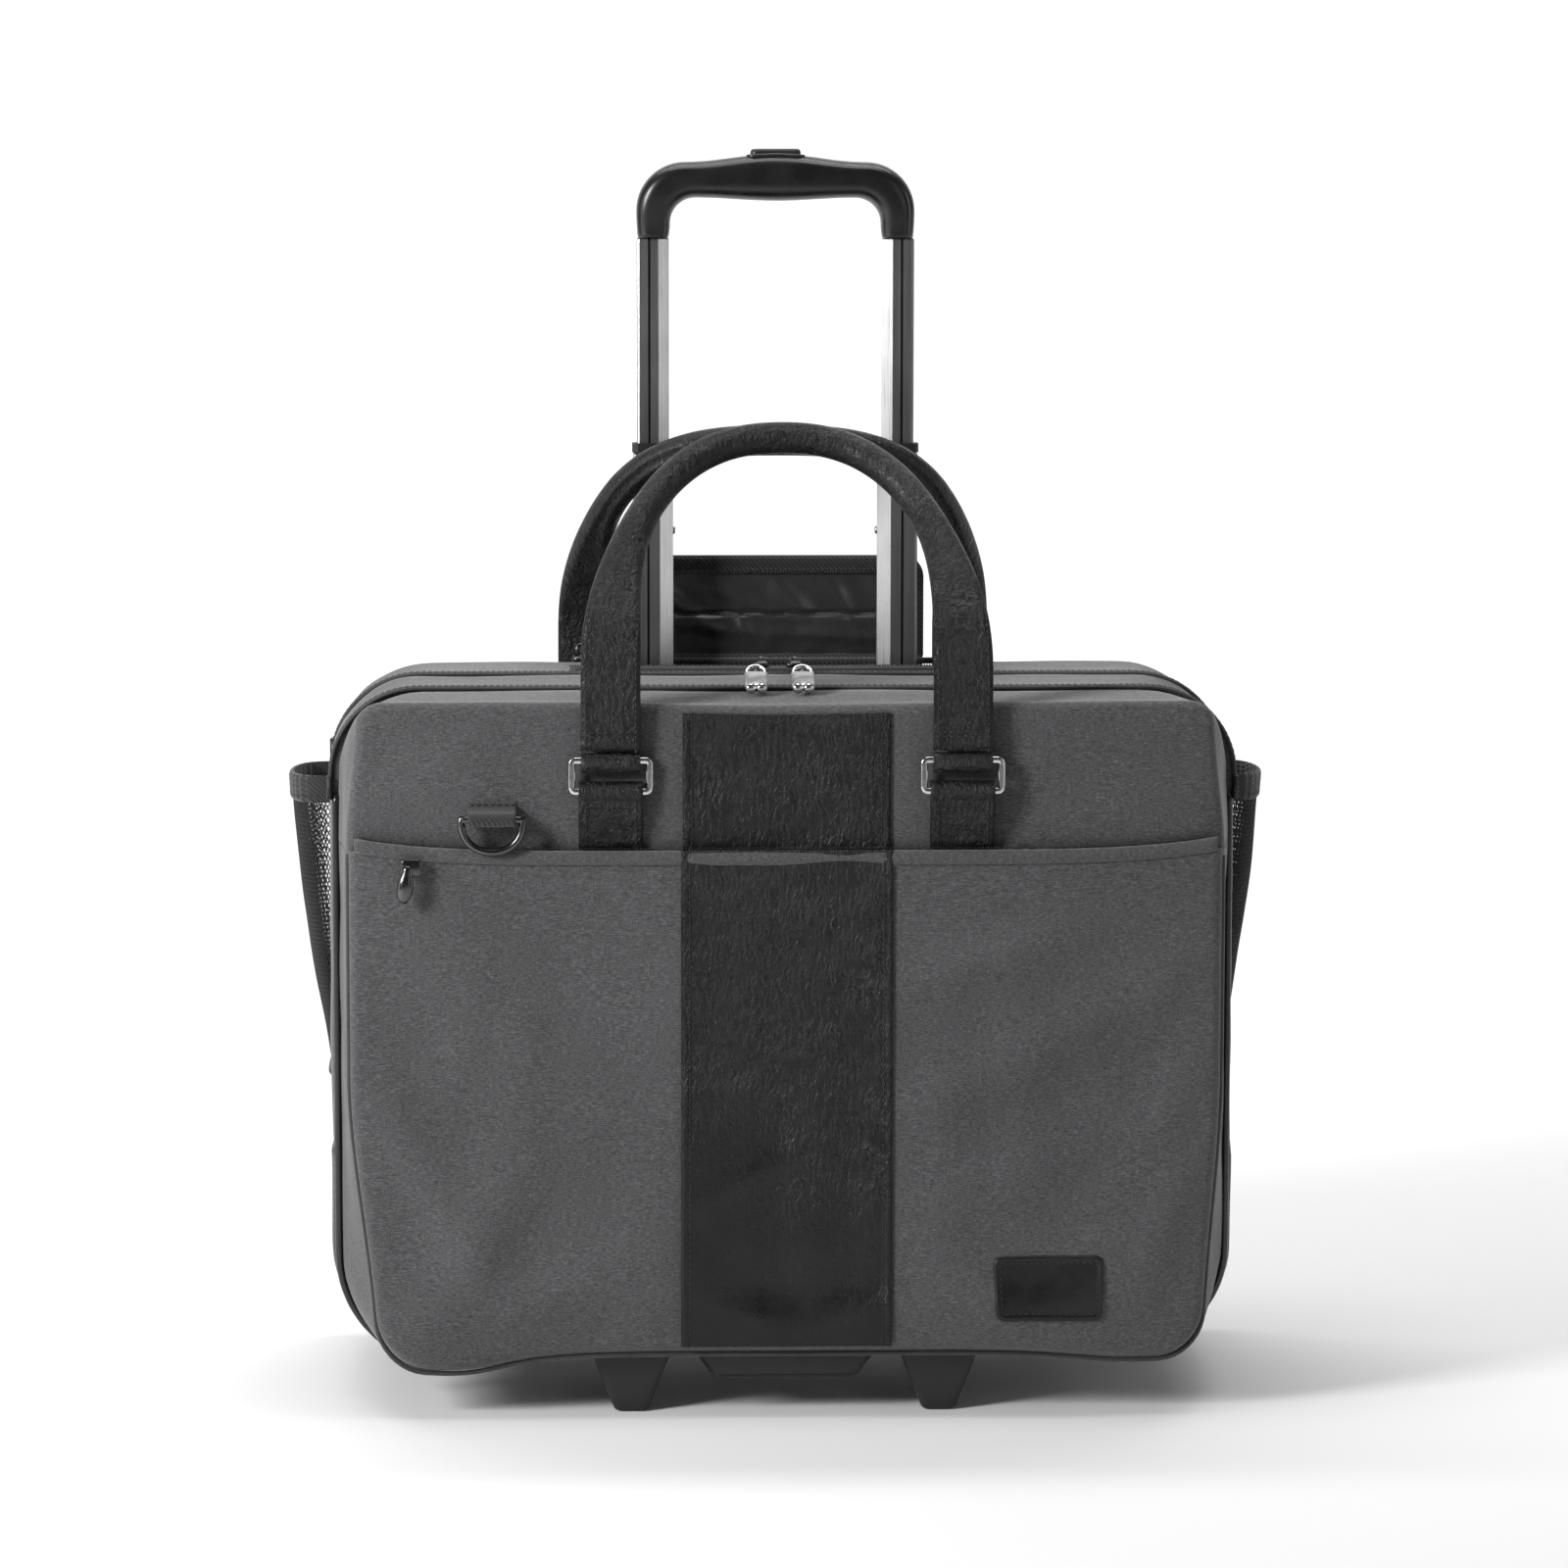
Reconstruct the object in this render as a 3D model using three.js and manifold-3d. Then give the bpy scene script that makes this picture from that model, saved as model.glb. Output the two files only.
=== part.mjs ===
// A soft-sided rolling laptop case that stands on two rear wheels and two front feet.
// Millimetres, +Z up, -Y is the front of the case, +X is to the right of someone facing it.
import * as THREE from "three";
import { mergeVertices } from "three/addons/utils/BufferGeometryUtils.js";
import Module from "manifold-3d";

const wasm = await Module();
wasm.setup();

// ---------- driving dimensions ----------
const GAP = 0.3; // running gap between pieces that touch

const BASE_Z = 31; // underside of the bag
const TOP_Z = 356; // top of the bag
const FRONT_Y = -105; // front face of the front compartment
const SEAM_Y = -65; // zip between front and main compartments
const ZIP_Y = 10; // zip between main section and rear section
const REAR_Y = 98; // rear face
const WALL = 6; // padded wall thickness
const FACE_HALF = 205; // half width of the front face at the top
const POCKET_HALF = 213; // half width of the slip pocket
const SEAM_HALF = 219; // half width at the front compartment's zip
const BODY_HALF = 226; // half width of the main and rear sections
const SPLIT_Z = 281; // mouth of the slip pocket, where the front top panel hinges

const TUBE_X = 63; // pull handle tubes stand at plus and minus this
const TUBE_Y = 72;
const SLEEVE = { w: 24.4, d: 19, wall: 1.5, bottom: 40.3, top: 296 };
const MIDDLE = { w: 20.6, d: 15, wall: 1.2, bottom: 205, top: 465 };
const INNER = { w: 16.5, d: 11, wall: 1.2, bottom: 313, top: 575 };
const GRIP_TOP = 618;
const GRIP_BAR = 24; // height of the grip's cross bar
const GRIP_HALF = 71.5;
const BUTTON = { w: 26, d: 14, top: 620.7 };

const WHEEL_R = 31;
const WHEEL_W = 22;
const WHEEL_X = 168;
const WHEEL_Y = 84;
const AXLE_R = 4;

const RING = { w: 41, bar: 1.7, low: 310, high: 325.2 }; // carry handle rings
const TAB = { w: 32, t: 3.5, bottom: 281.5 };
const STRAP = { w: 29, t: 4.5 };
const ROLL = 7.8; // radius of the rolled part of a carry handle
const RING_OUT = 6.2; // distance from a panel face to the ring's centre plane
const FRONT_HANDLE = {
  at: 85.5, face: FRONT_Y - RING_OUT, s: -1,
  upright: 42, bendLength: 40, lean: 0.72, height: 178, curve: 2.3,
};
const REAR_HANDLE = {
  at: 98, face: REAR_Y + RING_OUT, s: 1,
  upright: 42, bendLength: 30, lean: 0.75, height: 178, curve: 2.8,
};

const ZIP_W = 5; // width of a zip track
const ZIP_H = 1.6; // height of a zip track above the shell
const FRONT_ZIP_END = 300; // how far down the sides each zip runs
const LAPTOP_ZIP_END = 314;

// ---------- materials ----------
const paint = (color, roughness, metalness = 0) =>
  new THREE.MeshStandardMaterial({ color, roughness, metalness });
const COLOURS = {
  fabric: [0x55565a, 0.95],
  lining: [0x1b1b1d, 0.6],
  leather: [0x141414, 0.45],
  plastic: [0x17171a, 0.5],
  tube: [0x8a8c90, 0.35, 0.9],
  nickel: [0xc9c9cc, 0.2, 1],
  gunmetal: [0x45464a, 0.3, 1],
  rubber: [0x1c1c1c, 0.8],
  mesh: [0x202022, 0.9],
  steel: [0x9a9a9c, 0.3, 1],
};

// ---------- solids ----------
function solid(geometry) {
  const bare = geometry.clone();
  bare.deleteAttribute("normal");
  bare.deleteAttribute("uv");
  const merged = mergeVertices(bare, 1e-4);
  return new wasm.Manifold(
    new wasm.Mesh({
      numProp: 3,
      vertProperties: merged.attributes.position.array,
      triVerts: new Uint32Array(merged.index.array),
    })
  );
}

function geometryOf(body) {
  const mesh = body.getMesh();
  const geometry = new THREE.BufferGeometry();
  geometry.setAttribute("position", new THREE.BufferAttribute(mesh.vertProperties, 3));
  geometry.setIndex(new THREE.BufferAttribute(mesh.triVerts, 1));
  geometry.computeVertexNormals();
  return geometry;
}

// A block between two corners.
function block(x0, x1, y0, y1, z0, z1) {
  const box = new THREE.BoxGeometry(x1 - x0, y1 - y0, z1 - z0);
  box.translate((x0 + x1) / 2, (y0 + y1) / 2, (z0 + z1) / 2);
  return solid(box);
}

// A round bar along X, Y or Z.
function rod(axis, centre, radius, length, sides = 20) {
  const bar = new THREE.CylinderGeometry(radius, radius, length, sides);
  if (axis === "x") bar.rotateZ(Math.PI / 2);
  if (axis === "z") bar.rotateX(Math.PI / 2);
  bar.translate(...centre);
  return solid(bar);
}

// Points round a rectangle whose corners have radii [bottom, top].
function outline(half, low, high, [bottomR, topR], steps = 5) {
  const points = [];
  const corner = (cx, cy, r, start) => {
    for (let i = 0; i <= steps; i++) {
      const a = start + (i / steps) * (Math.PI / 2);
      points.push(new THREE.Vector2(cx + r * Math.cos(a), cy + r * Math.sin(a)));
    }
  };
  corner(half - topR, high - topR, topR, 0);
  corner(-half + topR, high - topR, topR, Math.PI / 2);
  corner(-half + bottomR, low + bottomR, bottomR, Math.PI);
  corner(half - bottomR, low + bottomR, bottomR, 1.5 * Math.PI);
  return points;
}

// A skin over rings of points. Open runs are capped at both ends; closed runs join up.
function loft(rings, closed = false) {
  const n = rings[0].length;
  const position = [];
  const index = [];
  for (const ring of rings) for (const p of ring) position.push(p.x, p.y, p.z);
  const spans = closed ? rings.length : rings.length - 1;
  for (let i = 0; i < spans; i++) {
    const a = i * n;
    const b = ((i + 1) % rings.length) * n;
    for (let k = 0; k < n; k++) {
      const m = (k + 1) % n;
      index.push(a + k, a + m, b + m, a + k, b + m, b + k);
    }
  }
  if (!closed) {
    for (const [row, flip] of [[0, true], [rings.length - 1, false]]) {
      const middle = new THREE.Vector3();
      for (const p of rings[row]) middle.addScaledVector(p, 1 / n);
      const c = position.length / 3;
      position.push(middle.x, middle.y, middle.z);
      for (let k = 0; k < n; k++) {
        const m = (k + 1) % n;
        if (flip) index.push(row * n + m, row * n + k, c);
        else index.push(row * n + k, row * n + m, c);
      }
    }
  }
  const geometry = new THREE.BufferGeometry();
  geometry.setAttribute("position", new THREE.Float32BufferAttribute(position, 3));
  geometry.setIndex(index);
  return solid(geometry);
}

// Sections stacked along Y: each is [y, half width, low, high, radii].
function sectionsAlongY(sections) {
  return loft(
    sections.map(([y, half, low, high, radii]) =>
      outline(half, low, high, radii).map((p) => new THREE.Vector3(p.x, y, p.y)).reverse()
    )
  );
}

// A flat outline in XY raised from one height to another.
function slabUp(points, low, high) {
  const shape = new THREE.Shape(points);
  const geometry = new THREE.ExtrudeGeometry(shape, { depth: high - low, bevelEnabled: false });
  geometry.translate(0, 0, low);
  return solid(geometry);
}

// A flat outline in YZ drawn out from x0 to x1.
function slabAcross(points, x0, x1) {
  const shape = new THREE.Shape(points.map(([y, z]) => new THREE.Vector2(y, z)));
  const geometry = new THREE.ExtrudeGeometry(shape, { depth: x1 - x0, bevelEnabled: false });
  geometry.applyMatrix4(
    new THREE.Matrix4().set(0, 0, 1, x0, 1, 0, 0, 0, 0, 1, 0, 0, 0, 0, 0, 1)
  );
  return solid(geometry);
}

// Rounded rectangle centred on (x, y), raised from low to high.
function post(x, y, w, d, r, low, high) {
  const points = outline(w / 2, -d / 2, d / 2, [r, r], 3);
  return slabUp(points.map((p) => new THREE.Vector2(p.x + x, p.y + y)), low, high);
}

// ---------- the scene graph ----------
const group = new THREE.Group();
group.name = "rolling_laptop_case";

function add(name, body, colour) {
  const mesh = new THREE.Mesh(geometryOf(body), paint(...COLOURS[colour]));
  mesh.name = name;
  group.add(mesh);
}

const SIDES = [["left", -1], ["right", 1]];

// ---------- bag shells ----------
const FRONT_RADII = [22, 12];
const SEAM_RADII = [45, 42];
const MIDDLE_RADII = [[45, 43], [42, 44]]; // at its front and at its back
const REAR_RADII = [38, 45];

function frontBlock(inset, frontY, rearY) {
  return sectionsAlongY([
    [frontY, FACE_HALF - inset + 4, BASE_Z + inset, TOP_Z - inset, FRONT_RADII],
    [rearY, SEAM_HALF - inset, BASE_Z + inset, TOP_Z - inset, SEAM_RADII],
  ]);
}

function frontShells() {
  const outer = frontBlock(0, FRONT_Y, SEAM_Y - GAP);
  const hollow = frontBlock(WALL, FRONT_Y + WALL, SEAM_Y + 1);
  const shell = outer.subtract(hollow);
  const above = block(-300, 300, -200, 0, SPLIT_Z + GAP, 500);
  const below = block(-300, 300, -200, 0, 0, SPLIT_Z);
  add("organiser_shell", shell.intersect(below), "fabric");
  add("front_top_panel", shell.intersect(above), "fabric");
}

function pocketPanel() {
  const depth = 8; // pocket panel stands this far in front of the front face
  const cloth = 2.5;
  const front = FRONT_Y - depth;
  const outer = sectionsAlongY([
    [front, POCKET_HALF, BASE_Z + 2, SPLIT_Z + 40, FRONT_RADII],
    [FRONT_Y - GAP, POCKET_HALF, BASE_Z + 2, SPLIT_Z + 40, FRONT_RADII],
  ]);
  const hollow = sectionsAlongY([
    [front + cloth, POCKET_HALF - cloth, BASE_Z + 2 + cloth, SPLIT_Z + 60, FRONT_RADII],
    [FRONT_Y + 1, POCKET_HALF - cloth, BASE_Z + 2 + cloth, SPLIT_Z + 60, FRONT_RADII],
  ]);
  const below = block(-300, 300, -200, 0, 0, SPLIT_Z);
  add("front_pocket_panel", outer.subtract(hollow).intersect(below), "fabric");

  const skin = 1.5;
  const face = front - GAP;
  add("leather_panel_lower", block(-51.5, 51.5, face - skin, face, 36, 279), "leather");
  const upper = FRONT_Y - GAP;
  add("leather_panel_upper", block(-50.5, 50.5, upper - skin, upper, 284, 344), "leather");

  const patch = { x: 131, z: 66, w: 60, h: 33 };
  const plate = outline(patch.w / 2, -patch.h / 2, patch.h / 2, [3, 3], 3);
  const label = plate.map((p) => new THREE.Vector3(p.x + patch.x, 0, p.y + patch.z)).reverse();
  const at = (y) => label.map((p) => new THREE.Vector3(p.x, y, p.z));
  add("label_patch", loft([at(face - 1.8), at(face)]), "leather");
}

function middleShell() {
  const outer = sectionsAlongY([
    [SEAM_Y, BODY_HALF - 3, BASE_Z, TOP_Z, MIDDLE_RADII[0]],
    [ZIP_Y - GAP, BODY_HALF, BASE_Z, TOP_Z, MIDDLE_RADII[1]],
  ]);
  const hollow = sectionsAlongY([
    [SEAM_Y + WALL, BODY_HALF - 3 - WALL, BASE_Z + WALL, TOP_Z - WALL, MIDDLE_RADII[0]],
    [ZIP_Y + 1, BODY_HALF - WALL, BASE_Z + WALL, TOP_Z - WALL, MIDDLE_RADII[1]],
  ]);
  add("middle_shell", outer.subtract(hollow), "fabric");
  const board = BASE_Z + WALL + GAP;
  add("base_board", block(-172, 172, SEAM_Y + WALL + 2, ZIP_Y - 1, board, board + 3), "plastic");
}

const HOUSING = { half: 21, front: 47, top: 76 };

function rearShell() {
  const outer = sectionsAlongY([
    [ZIP_Y, BODY_HALF, BASE_Z, TOP_Z, REAR_RADII],
    [REAR_Y - 12, BODY_HALF, BASE_Z, TOP_Z, REAR_RADII],
    [REAR_Y, BODY_HALF - 8, BASE_Z + 6, TOP_Z, [32, 45]],
  ]);
  const laptopBay = sectionsAlongY([
    [ZIP_Y - 1, BODY_HALF - WALL, BASE_Z + WALL, TOP_Z - WALL, [32, 39]],
    [45, BODY_HALF - WALL, BASE_Z + WALL, TOP_Z - WALL, [32, 39]],
  ]);
  const wellFoot = block(-88, 88, 50, 92, BASE_Z + 5, TOP_Z + 1);
  const wellWide = block(-190, 190, 50, 92, 92, 330);
  let shell = outer.subtract(laptopBay).subtract(wellFoot).subtract(wellWide);
  for (const [, s] of SIDES) {
    const x = s * WHEEL_X;
    const reach = HOUSING.half + 1;
    shell = shell.subtract(
      block(x - reach, x + reach, HOUSING.front - 1, 130, BASE_Z - 1, HOUSING.top + 1)
    );
  }
  add("rear_shell", shell, "fabric");
  add("laptop_divider", block(-206, 206, 13, 17, BASE_Z + WALL + 8, 300), "lining");
}

// ---------- wheels ----------
function wheelUnit(side, s) {
  const x = s * WHEEL_X;
  const centre = [x, WHEEL_Y, WHEEL_R];
  const cheekTop = HOUSING.top;
  const profile = [[HOUSING.front, BASE_Z + 1], [64, 14], [98, 14], [REAR_Y + 6, 34]];
  for (let i = 0; i <= 6; i++) {
    const a = (i / 6) * (Math.PI / 2);
    profile.push([REAR_Y - 18 + 22 * Math.cos(a), cheekTop - 20 + 20 * Math.sin(a)]);
  }
  profile.push([HOUSING.front + 6, cheekTop], [HOUSING.front, cheekTop - 6]);
  const cover = slabAcross(profile, x - HOUSING.half, x + HOUSING.half);
  const well = WHEEL_W + 6;
  const arch = rod("x", centre, WHEEL_R + 4, well, 32);
  const mouth = block(x - well / 2, x + well / 2, WHEEL_Y, 140, -10, WHEEL_R + 10);
  const below = block(x - well / 2, x + well / 2, WHEEL_Y - 35, 140, -10, WHEEL_R);
  const bore = rod("x", centre, AXLE_R + GAP, 60);
  add(
    `wheel_housing_${side}`,
    cover.subtract(arch).subtract(mouth).subtract(below).subtract(bore),
    "plastic"
  );
  add(`axle_${side}`, rod("x", centre, AXLE_R, HOUSING.half * 2 - 1), "steel");

  const rim = WHEEL_R - 7;
  const half = WHEEL_W / 2;
  const tyre = [
    [rim, -half], [WHEEL_R - 3, -half], [WHEEL_R, -half + 4],
    [WHEEL_R, half - 4], [WHEEL_R - 3, half], [rim, half], [rim, -half],
  ];
  const lathe = new THREE.LatheGeometry(tyre.map(([r, h]) => new THREE.Vector2(r, h)), 40);
  lathe.rotateZ(-Math.PI / 2);
  lathe.translate(...centre);
  add(`tyre_${side}`, solid(lathe), "rubber");

  const r = rim - GAP;
  const boss = half + 1.5;
  const bored = AXLE_R + GAP;
  const hub = [
    [bored, -boss], [9, -boss], [11, -half + 5], [r - 4, -half + 5], [r - 3, -half], [r, -half],
    [r, half], [r - 3, half], [r - 4, half - 5], [11, half - 5], [9, boss], [bored, boss],
    [bored, -boss],
  ];
  const turned = new THREE.LatheGeometry(hub.map(([q, h]) => new THREE.Vector2(q, h)), 32);
  turned.rotateZ(-Math.PI / 2);
  turned.translate(...centre);
  add(`hub_${side}`, solid(turned), "plastic");
}

// ---------- telescopic pull handle ----------
function tube(x, size) {
  const outer = post(x, TUBE_Y, size.w, size.d, 3, size.bottom, size.top);
  const inside = post(
    x, TUBE_Y, size.w - 2 * size.wall, size.d - 2 * size.wall, 2, size.bottom - 1, size.top + 1
  );
  return outer.subtract(inside);
}

function pullHandle() {
  const collar = { w: 21.6, d: 16, top: 470 };
  for (const [side, s] of SIDES) {
    const x = s * TUBE_X;
    add(`sleeve_tube_${side}`, tube(x, SLEEVE), "tube");
    add(`middle_tube_${side}`, tube(x, MIDDLE), "tube");
    add(`inner_tube_${side}`, tube(x, INNER), "tube");
    const ring = post(x, TUBE_Y, collar.w, collar.d, 3, MIDDLE.top + GAP, collar.top);
    const hole = post(x, TUBE_Y, INNER.w + 0.8, INNER.d + 0.8, 3, 400, 500);
    add(`tube_collar_${side}`, ring.subtract(hole), "plastic");
  }

  let bezel = post(0, TUBE_Y, 168, 34, 5, SLEEVE.top + GAP, SLEEVE.top + 6);
  for (const [, s] of SIDES) {
    const hole = post(s * TUBE_X, TUBE_Y, MIDDLE.w + 0.8, MIDDLE.d + 0.8, 3, 200, 400);
    bezel = bezel.subtract(hole);
  }
  add("handle_bezel", bezel, "plastic");
  const foot = post(0, TUBE_Y, 160, 26, 4, BASE_Z + 5 + GAP, SLEEVE.bottom - GAP);
  add("handle_foot", foot, "plastic");
}

function pullGrip() {
  const leg = { w: 17.4, d: 15 };
  const under = GRIP_TOP - GRIP_BAR;
  const steps = 6;
  const cornerR = 25;
  const innerR = 13;
  const points = [];
  const arc = (cx, cz, r, from, to) => {
    for (let i = 0; i <= steps; i++) {
      const a = from + ((to - from) * i) / steps;
      points.push(new THREE.Vector2(cx + r * Math.cos(a), cz + r * Math.sin(a)));
    }
  };
  const insideX = GRIP_HALF - leg.w;
  points.push(new THREE.Vector2(GRIP_HALF, INNER.top + GAP));
  arc(GRIP_HALF - cornerR, GRIP_TOP - 4 - cornerR, cornerR, 0, Math.PI / 2);
  points.push(new THREE.Vector2(0, GRIP_TOP));
  arc(-GRIP_HALF + cornerR, GRIP_TOP - 4 - cornerR, cornerR, Math.PI / 2, Math.PI);
  points.push(new THREE.Vector2(-GRIP_HALF, INNER.top + GAP));
  points.push(new THREE.Vector2(-insideX, INNER.top + GAP));
  arc(-insideX + innerR, under - innerR + 2, innerR, Math.PI, Math.PI / 2);
  arc(insideX - innerR, under - innerR + 2, innerR, Math.PI / 2, 0);
  points.push(new THREE.Vector2(insideX, INNER.top + GAP));

  const depth = 25;
  const shape = new THREE.Shape(points);
  const bevel = 5;
  const extruded = new THREE.ExtrudeGeometry(shape, {
    depth: depth - 2 * bevel,
    bevelEnabled: true,
    bevelThickness: bevel,
    bevelSize: 3.5,
    bevelOffset: -3.5,
    bevelSegments: 3,
  });
  extruded.rotateX(Math.PI / 2);
  extruded.translate(0, TUBE_Y + depth / 2 - bevel, 0);
  let body = solid(extruded);

  const legTop = 600;
  for (const [, s] of SIDES) {
    const x = s * TUBE_X;
    const spigot = { w: 13.4, d: 7.8, low: INNER.top - 16 };
    body = body.add(post(x, TUBE_Y, spigot.w, spigot.d, 1.5, spigot.low, INNER.top + 6));
    body = body.subtract(rod("z", [x, TUBE_Y, legTop - 30], 2.6, 80, 12));
  }
  const channel = { half: 66, low: 599, high: 609 };
  body = body.subtract(
    block(-channel.half, channel.half, TUBE_Y - 4, TUBE_Y + 4, channel.low, channel.high)
  );
  const slot = { w: BUTTON.w + 0.8, d: BUTTON.d + 0.8 };
  body = body.subtract(post(0, TUBE_Y, slot.w, slot.d, 3, channel.low, GRIP_TOP + 9));
  add("pull_grip", body, "plastic");

  const cap = post(0, TUBE_Y, BUTTON.w, BUTTON.d, 2.6, channel.low + 5, BUTTON.top);
  const lever = block(-65, 65, TUBE_Y - 3, TUBE_Y + 3, channel.low + 5, channel.high - 1);
  add("release_button", cap.add(lever), "plastic");
  for (const [side, s] of SIDES) {
    const low = INNER.bottom + 12;
    const high = channel.low + 5 - GAP;
    add(
      `push_rod_${side}`,
      rod("z", [s * TUBE_X, TUBE_Y, (low + high) / 2], 2, high - low, 10),
      "steel"
    );
  }
}

function handleFlap() {
  const half = 79;
  const low = TOP_Z + 1.5;
  const high = 411;
  const y = 93.2;
  const points = outline(half, low - 20, high, [2, 12], 4);
  const at = (depth) => points.map((p) => new THREE.Vector3(p.x, depth, p.y)).reverse();
  const sheet = loft([at(y), at(y + 3)]);
  add("handle_flap", sheet.intersect(block(-100, 100, 50, 130, low, high + 1)), "lining");
}

// ---------- carry handles ----------
// The strap is drawn flat as an arch, then bent: upright beside the panel, then leaning in.
// at: half spacing, face: ring plane, s: which way the panel faces, curve: arch squareness.
function carryHandle(name, { at, face, s, upright, bendLength, lean, height, curve }) {
  const baseZ = RING.high;
  const shoulder = 36; // the straps run parallel up to here
  const half = [new THREE.Vector3(at, 3, 0)];
  for (let i = 0; i <= 10; i++) {
    const t = (i / 10) * (Math.PI / 2);
    const x = at * Math.cos(t) ** (2 / curve);
    const h = shoulder + (height - shoulder) * Math.sin(t) ** (2 / curve);
    half.push(new THREE.Vector3(x, h, 0));
  }
  const other = half.slice(0, -1).reverse().map((p) => new THREE.Vector3(-p.x, p.y, 0));
  const path = new THREE.CatmullRomCurve3([...half, ...other], false, "centripetal");

  // height along the strap -> its place in YZ and its tilt
  const bend = (h) => {
    const over = Math.max(0, h - upright);
    const turned = Math.min(over, bendLength);
    const rest = over - turned;
    const tilt = (lean * turned) / bendLength;
    const radius = bendLength / lean;
    const back = radius * (1 - Math.cos(tilt)) + rest * Math.sin(lean);
    const up = Math.min(h, upright) + radius * Math.sin(tilt) + rest * Math.cos(lean);
    return [face - s * back, baseZ + up, tilt];
  };
  const stations = 38;
  const sides = 10;
  const rings = [];
  for (let i = 0; i <= stations; i++) {
    const t = i / stations;
    const p = path.getPointAt(t);
    const tangent = path.getTangentAt(t);
    const rise = THREE.MathUtils.smoothstep(p.y, 45, 0.78 * height);
    const a = THREE.MathUtils.lerp(STRAP.w / 2, ROLL, rise);
    const b = THREE.MathUtils.lerp(STRAP.t / 2, ROLL, rise);
    const power = THREE.MathUtils.lerp(0.35, 1, rise);
    const ring = [];
    for (let k = 0; k < sides; k++) {
      const angle = ((k + 0.5) / sides) * 2 * Math.PI;
      const c = Math.cos(angle);
      const v = Math.sin(angle);
      const u = Math.sign(c) * Math.abs(c) ** power * a;
      const n = Math.sign(v) * Math.abs(v) ** power * b;
      const flat = { x: p.x - tangent.y * u, h: p.y + tangent.x * u };
      const [y, z, tilt] = bend(flat.h);
      ring.push(
        new THREE.Vector3(flat.x, y + s * n * Math.cos(tilt), z + n * Math.sin(tilt))
      );
    }
    rings.push(s > 0 ? ring.reverse() : ring);
  }
  let body = loft(rings);
  for (const [side, q] of SIDES) {
    const x = q * at;
    body = body.add(rod("x", [x, face, baseZ], 4.4, STRAP.w, 14));
    body = body.subtract(rod("x", [x, face, baseZ], RING.bar + GAP, STRAP.w + 4, 12));
    ringAndTab(name, side, x, face, s);
  }
  add(`${name}_handle`, body, "leather");
}

function ringAndTab(name, side, x, y, s) {
  const rings = [];
  const path = outline(RING.w / 2 - RING.bar, RING.low, RING.high, [2.5, 2.5], 2);
  const count = path.length;
  for (let i = 0; i < count; i++) {
    const here = path[i];
    const next = path[(i + 1) % count];
    const last = path[(i + count - 1) % count];
    const along = next.clone().sub(last).normalize();
    const ring = [];
    for (let k = 0; k < 8; k++) {
      const angle = (k / 8) * 2 * Math.PI;
      const out = RING.bar * Math.cos(angle);
      ring.push(
        new THREE.Vector3(
          x + here.x + along.y * out, y + RING.bar * Math.sin(angle), here.y - along.x * out
        )
      );
    }
    rings.push(ring);
  }
  add(`${name}_ring_${side}`, loft(rings, true), "nickel");

  const panel = y - s * RING_OUT; // panel face behind the tab
  const near = panel + s * GAP;
  const far = near + s * TAB.t;
  const strip = block(
    x - TAB.w / 2, x + TAB.w / 2, Math.min(near, far), Math.max(near, far),
    TAB.bottom, RING.low + 2
  );
  const roll = rod("x", [x, y, RING.low], 5.6, TAB.w, 16);
  const hole = rod("x", [x, y, RING.low], RING.bar + 0.5, TAB.w + 4, 12);
  add(`${name}_tab_${side}`, strip.add(roll).subtract(hole), "leather");
}

// ---------- shoulder strap ring ----------
function dRing() {
  const x = -143;
  const y = FRONT_Y - 10.6; // the ring hangs clear of the slip pocket
  const z = 297;
  const half = 15;
  const wire = 1.9;
  const path = [new THREE.Vector2(half, 0)];
  for (let i = 0; i <= 8; i++) {
    const a = (i / 8) * Math.PI;
    path.push(new THREE.Vector2(half * Math.cos(a), -3 - 13 * Math.sin(a)));
  }
  path.push(new THREE.Vector2(-half, 0));
  const rings = path.map((here, i) => {
    const next = path[(i + 1) % path.length];
    const last = path[(i + path.length - 1) % path.length];
    const along = next.clone().sub(last).normalize();
    const ring = [];
    for (let k = 0; k < 8; k++) {
      const angle = (k / 8) * 2 * Math.PI;
      const out = wire * Math.cos(angle);
      ring.push(
        new THREE.Vector3(
          x + here.x + along.y * out, y + wire * Math.sin(angle), z + here.y - along.x * out
        )
      );
    }
    return ring;
  });
  add("d_ring", loft(rings, true), "gunmetal");
  const web = 24;
  const pad = block(x - web / 2, x + web / 2, y + 2.5, FRONT_Y - GAP, z - 7, z + 8);
  const roll = rod("x", [x, y, z], 3.9, web, 14);
  const hole = rod("x", [x, y, z], wire + 0.6, web + 4, 12);
  add("d_ring_loop", pad.add(roll).subtract(hole), "lining");
}

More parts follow.
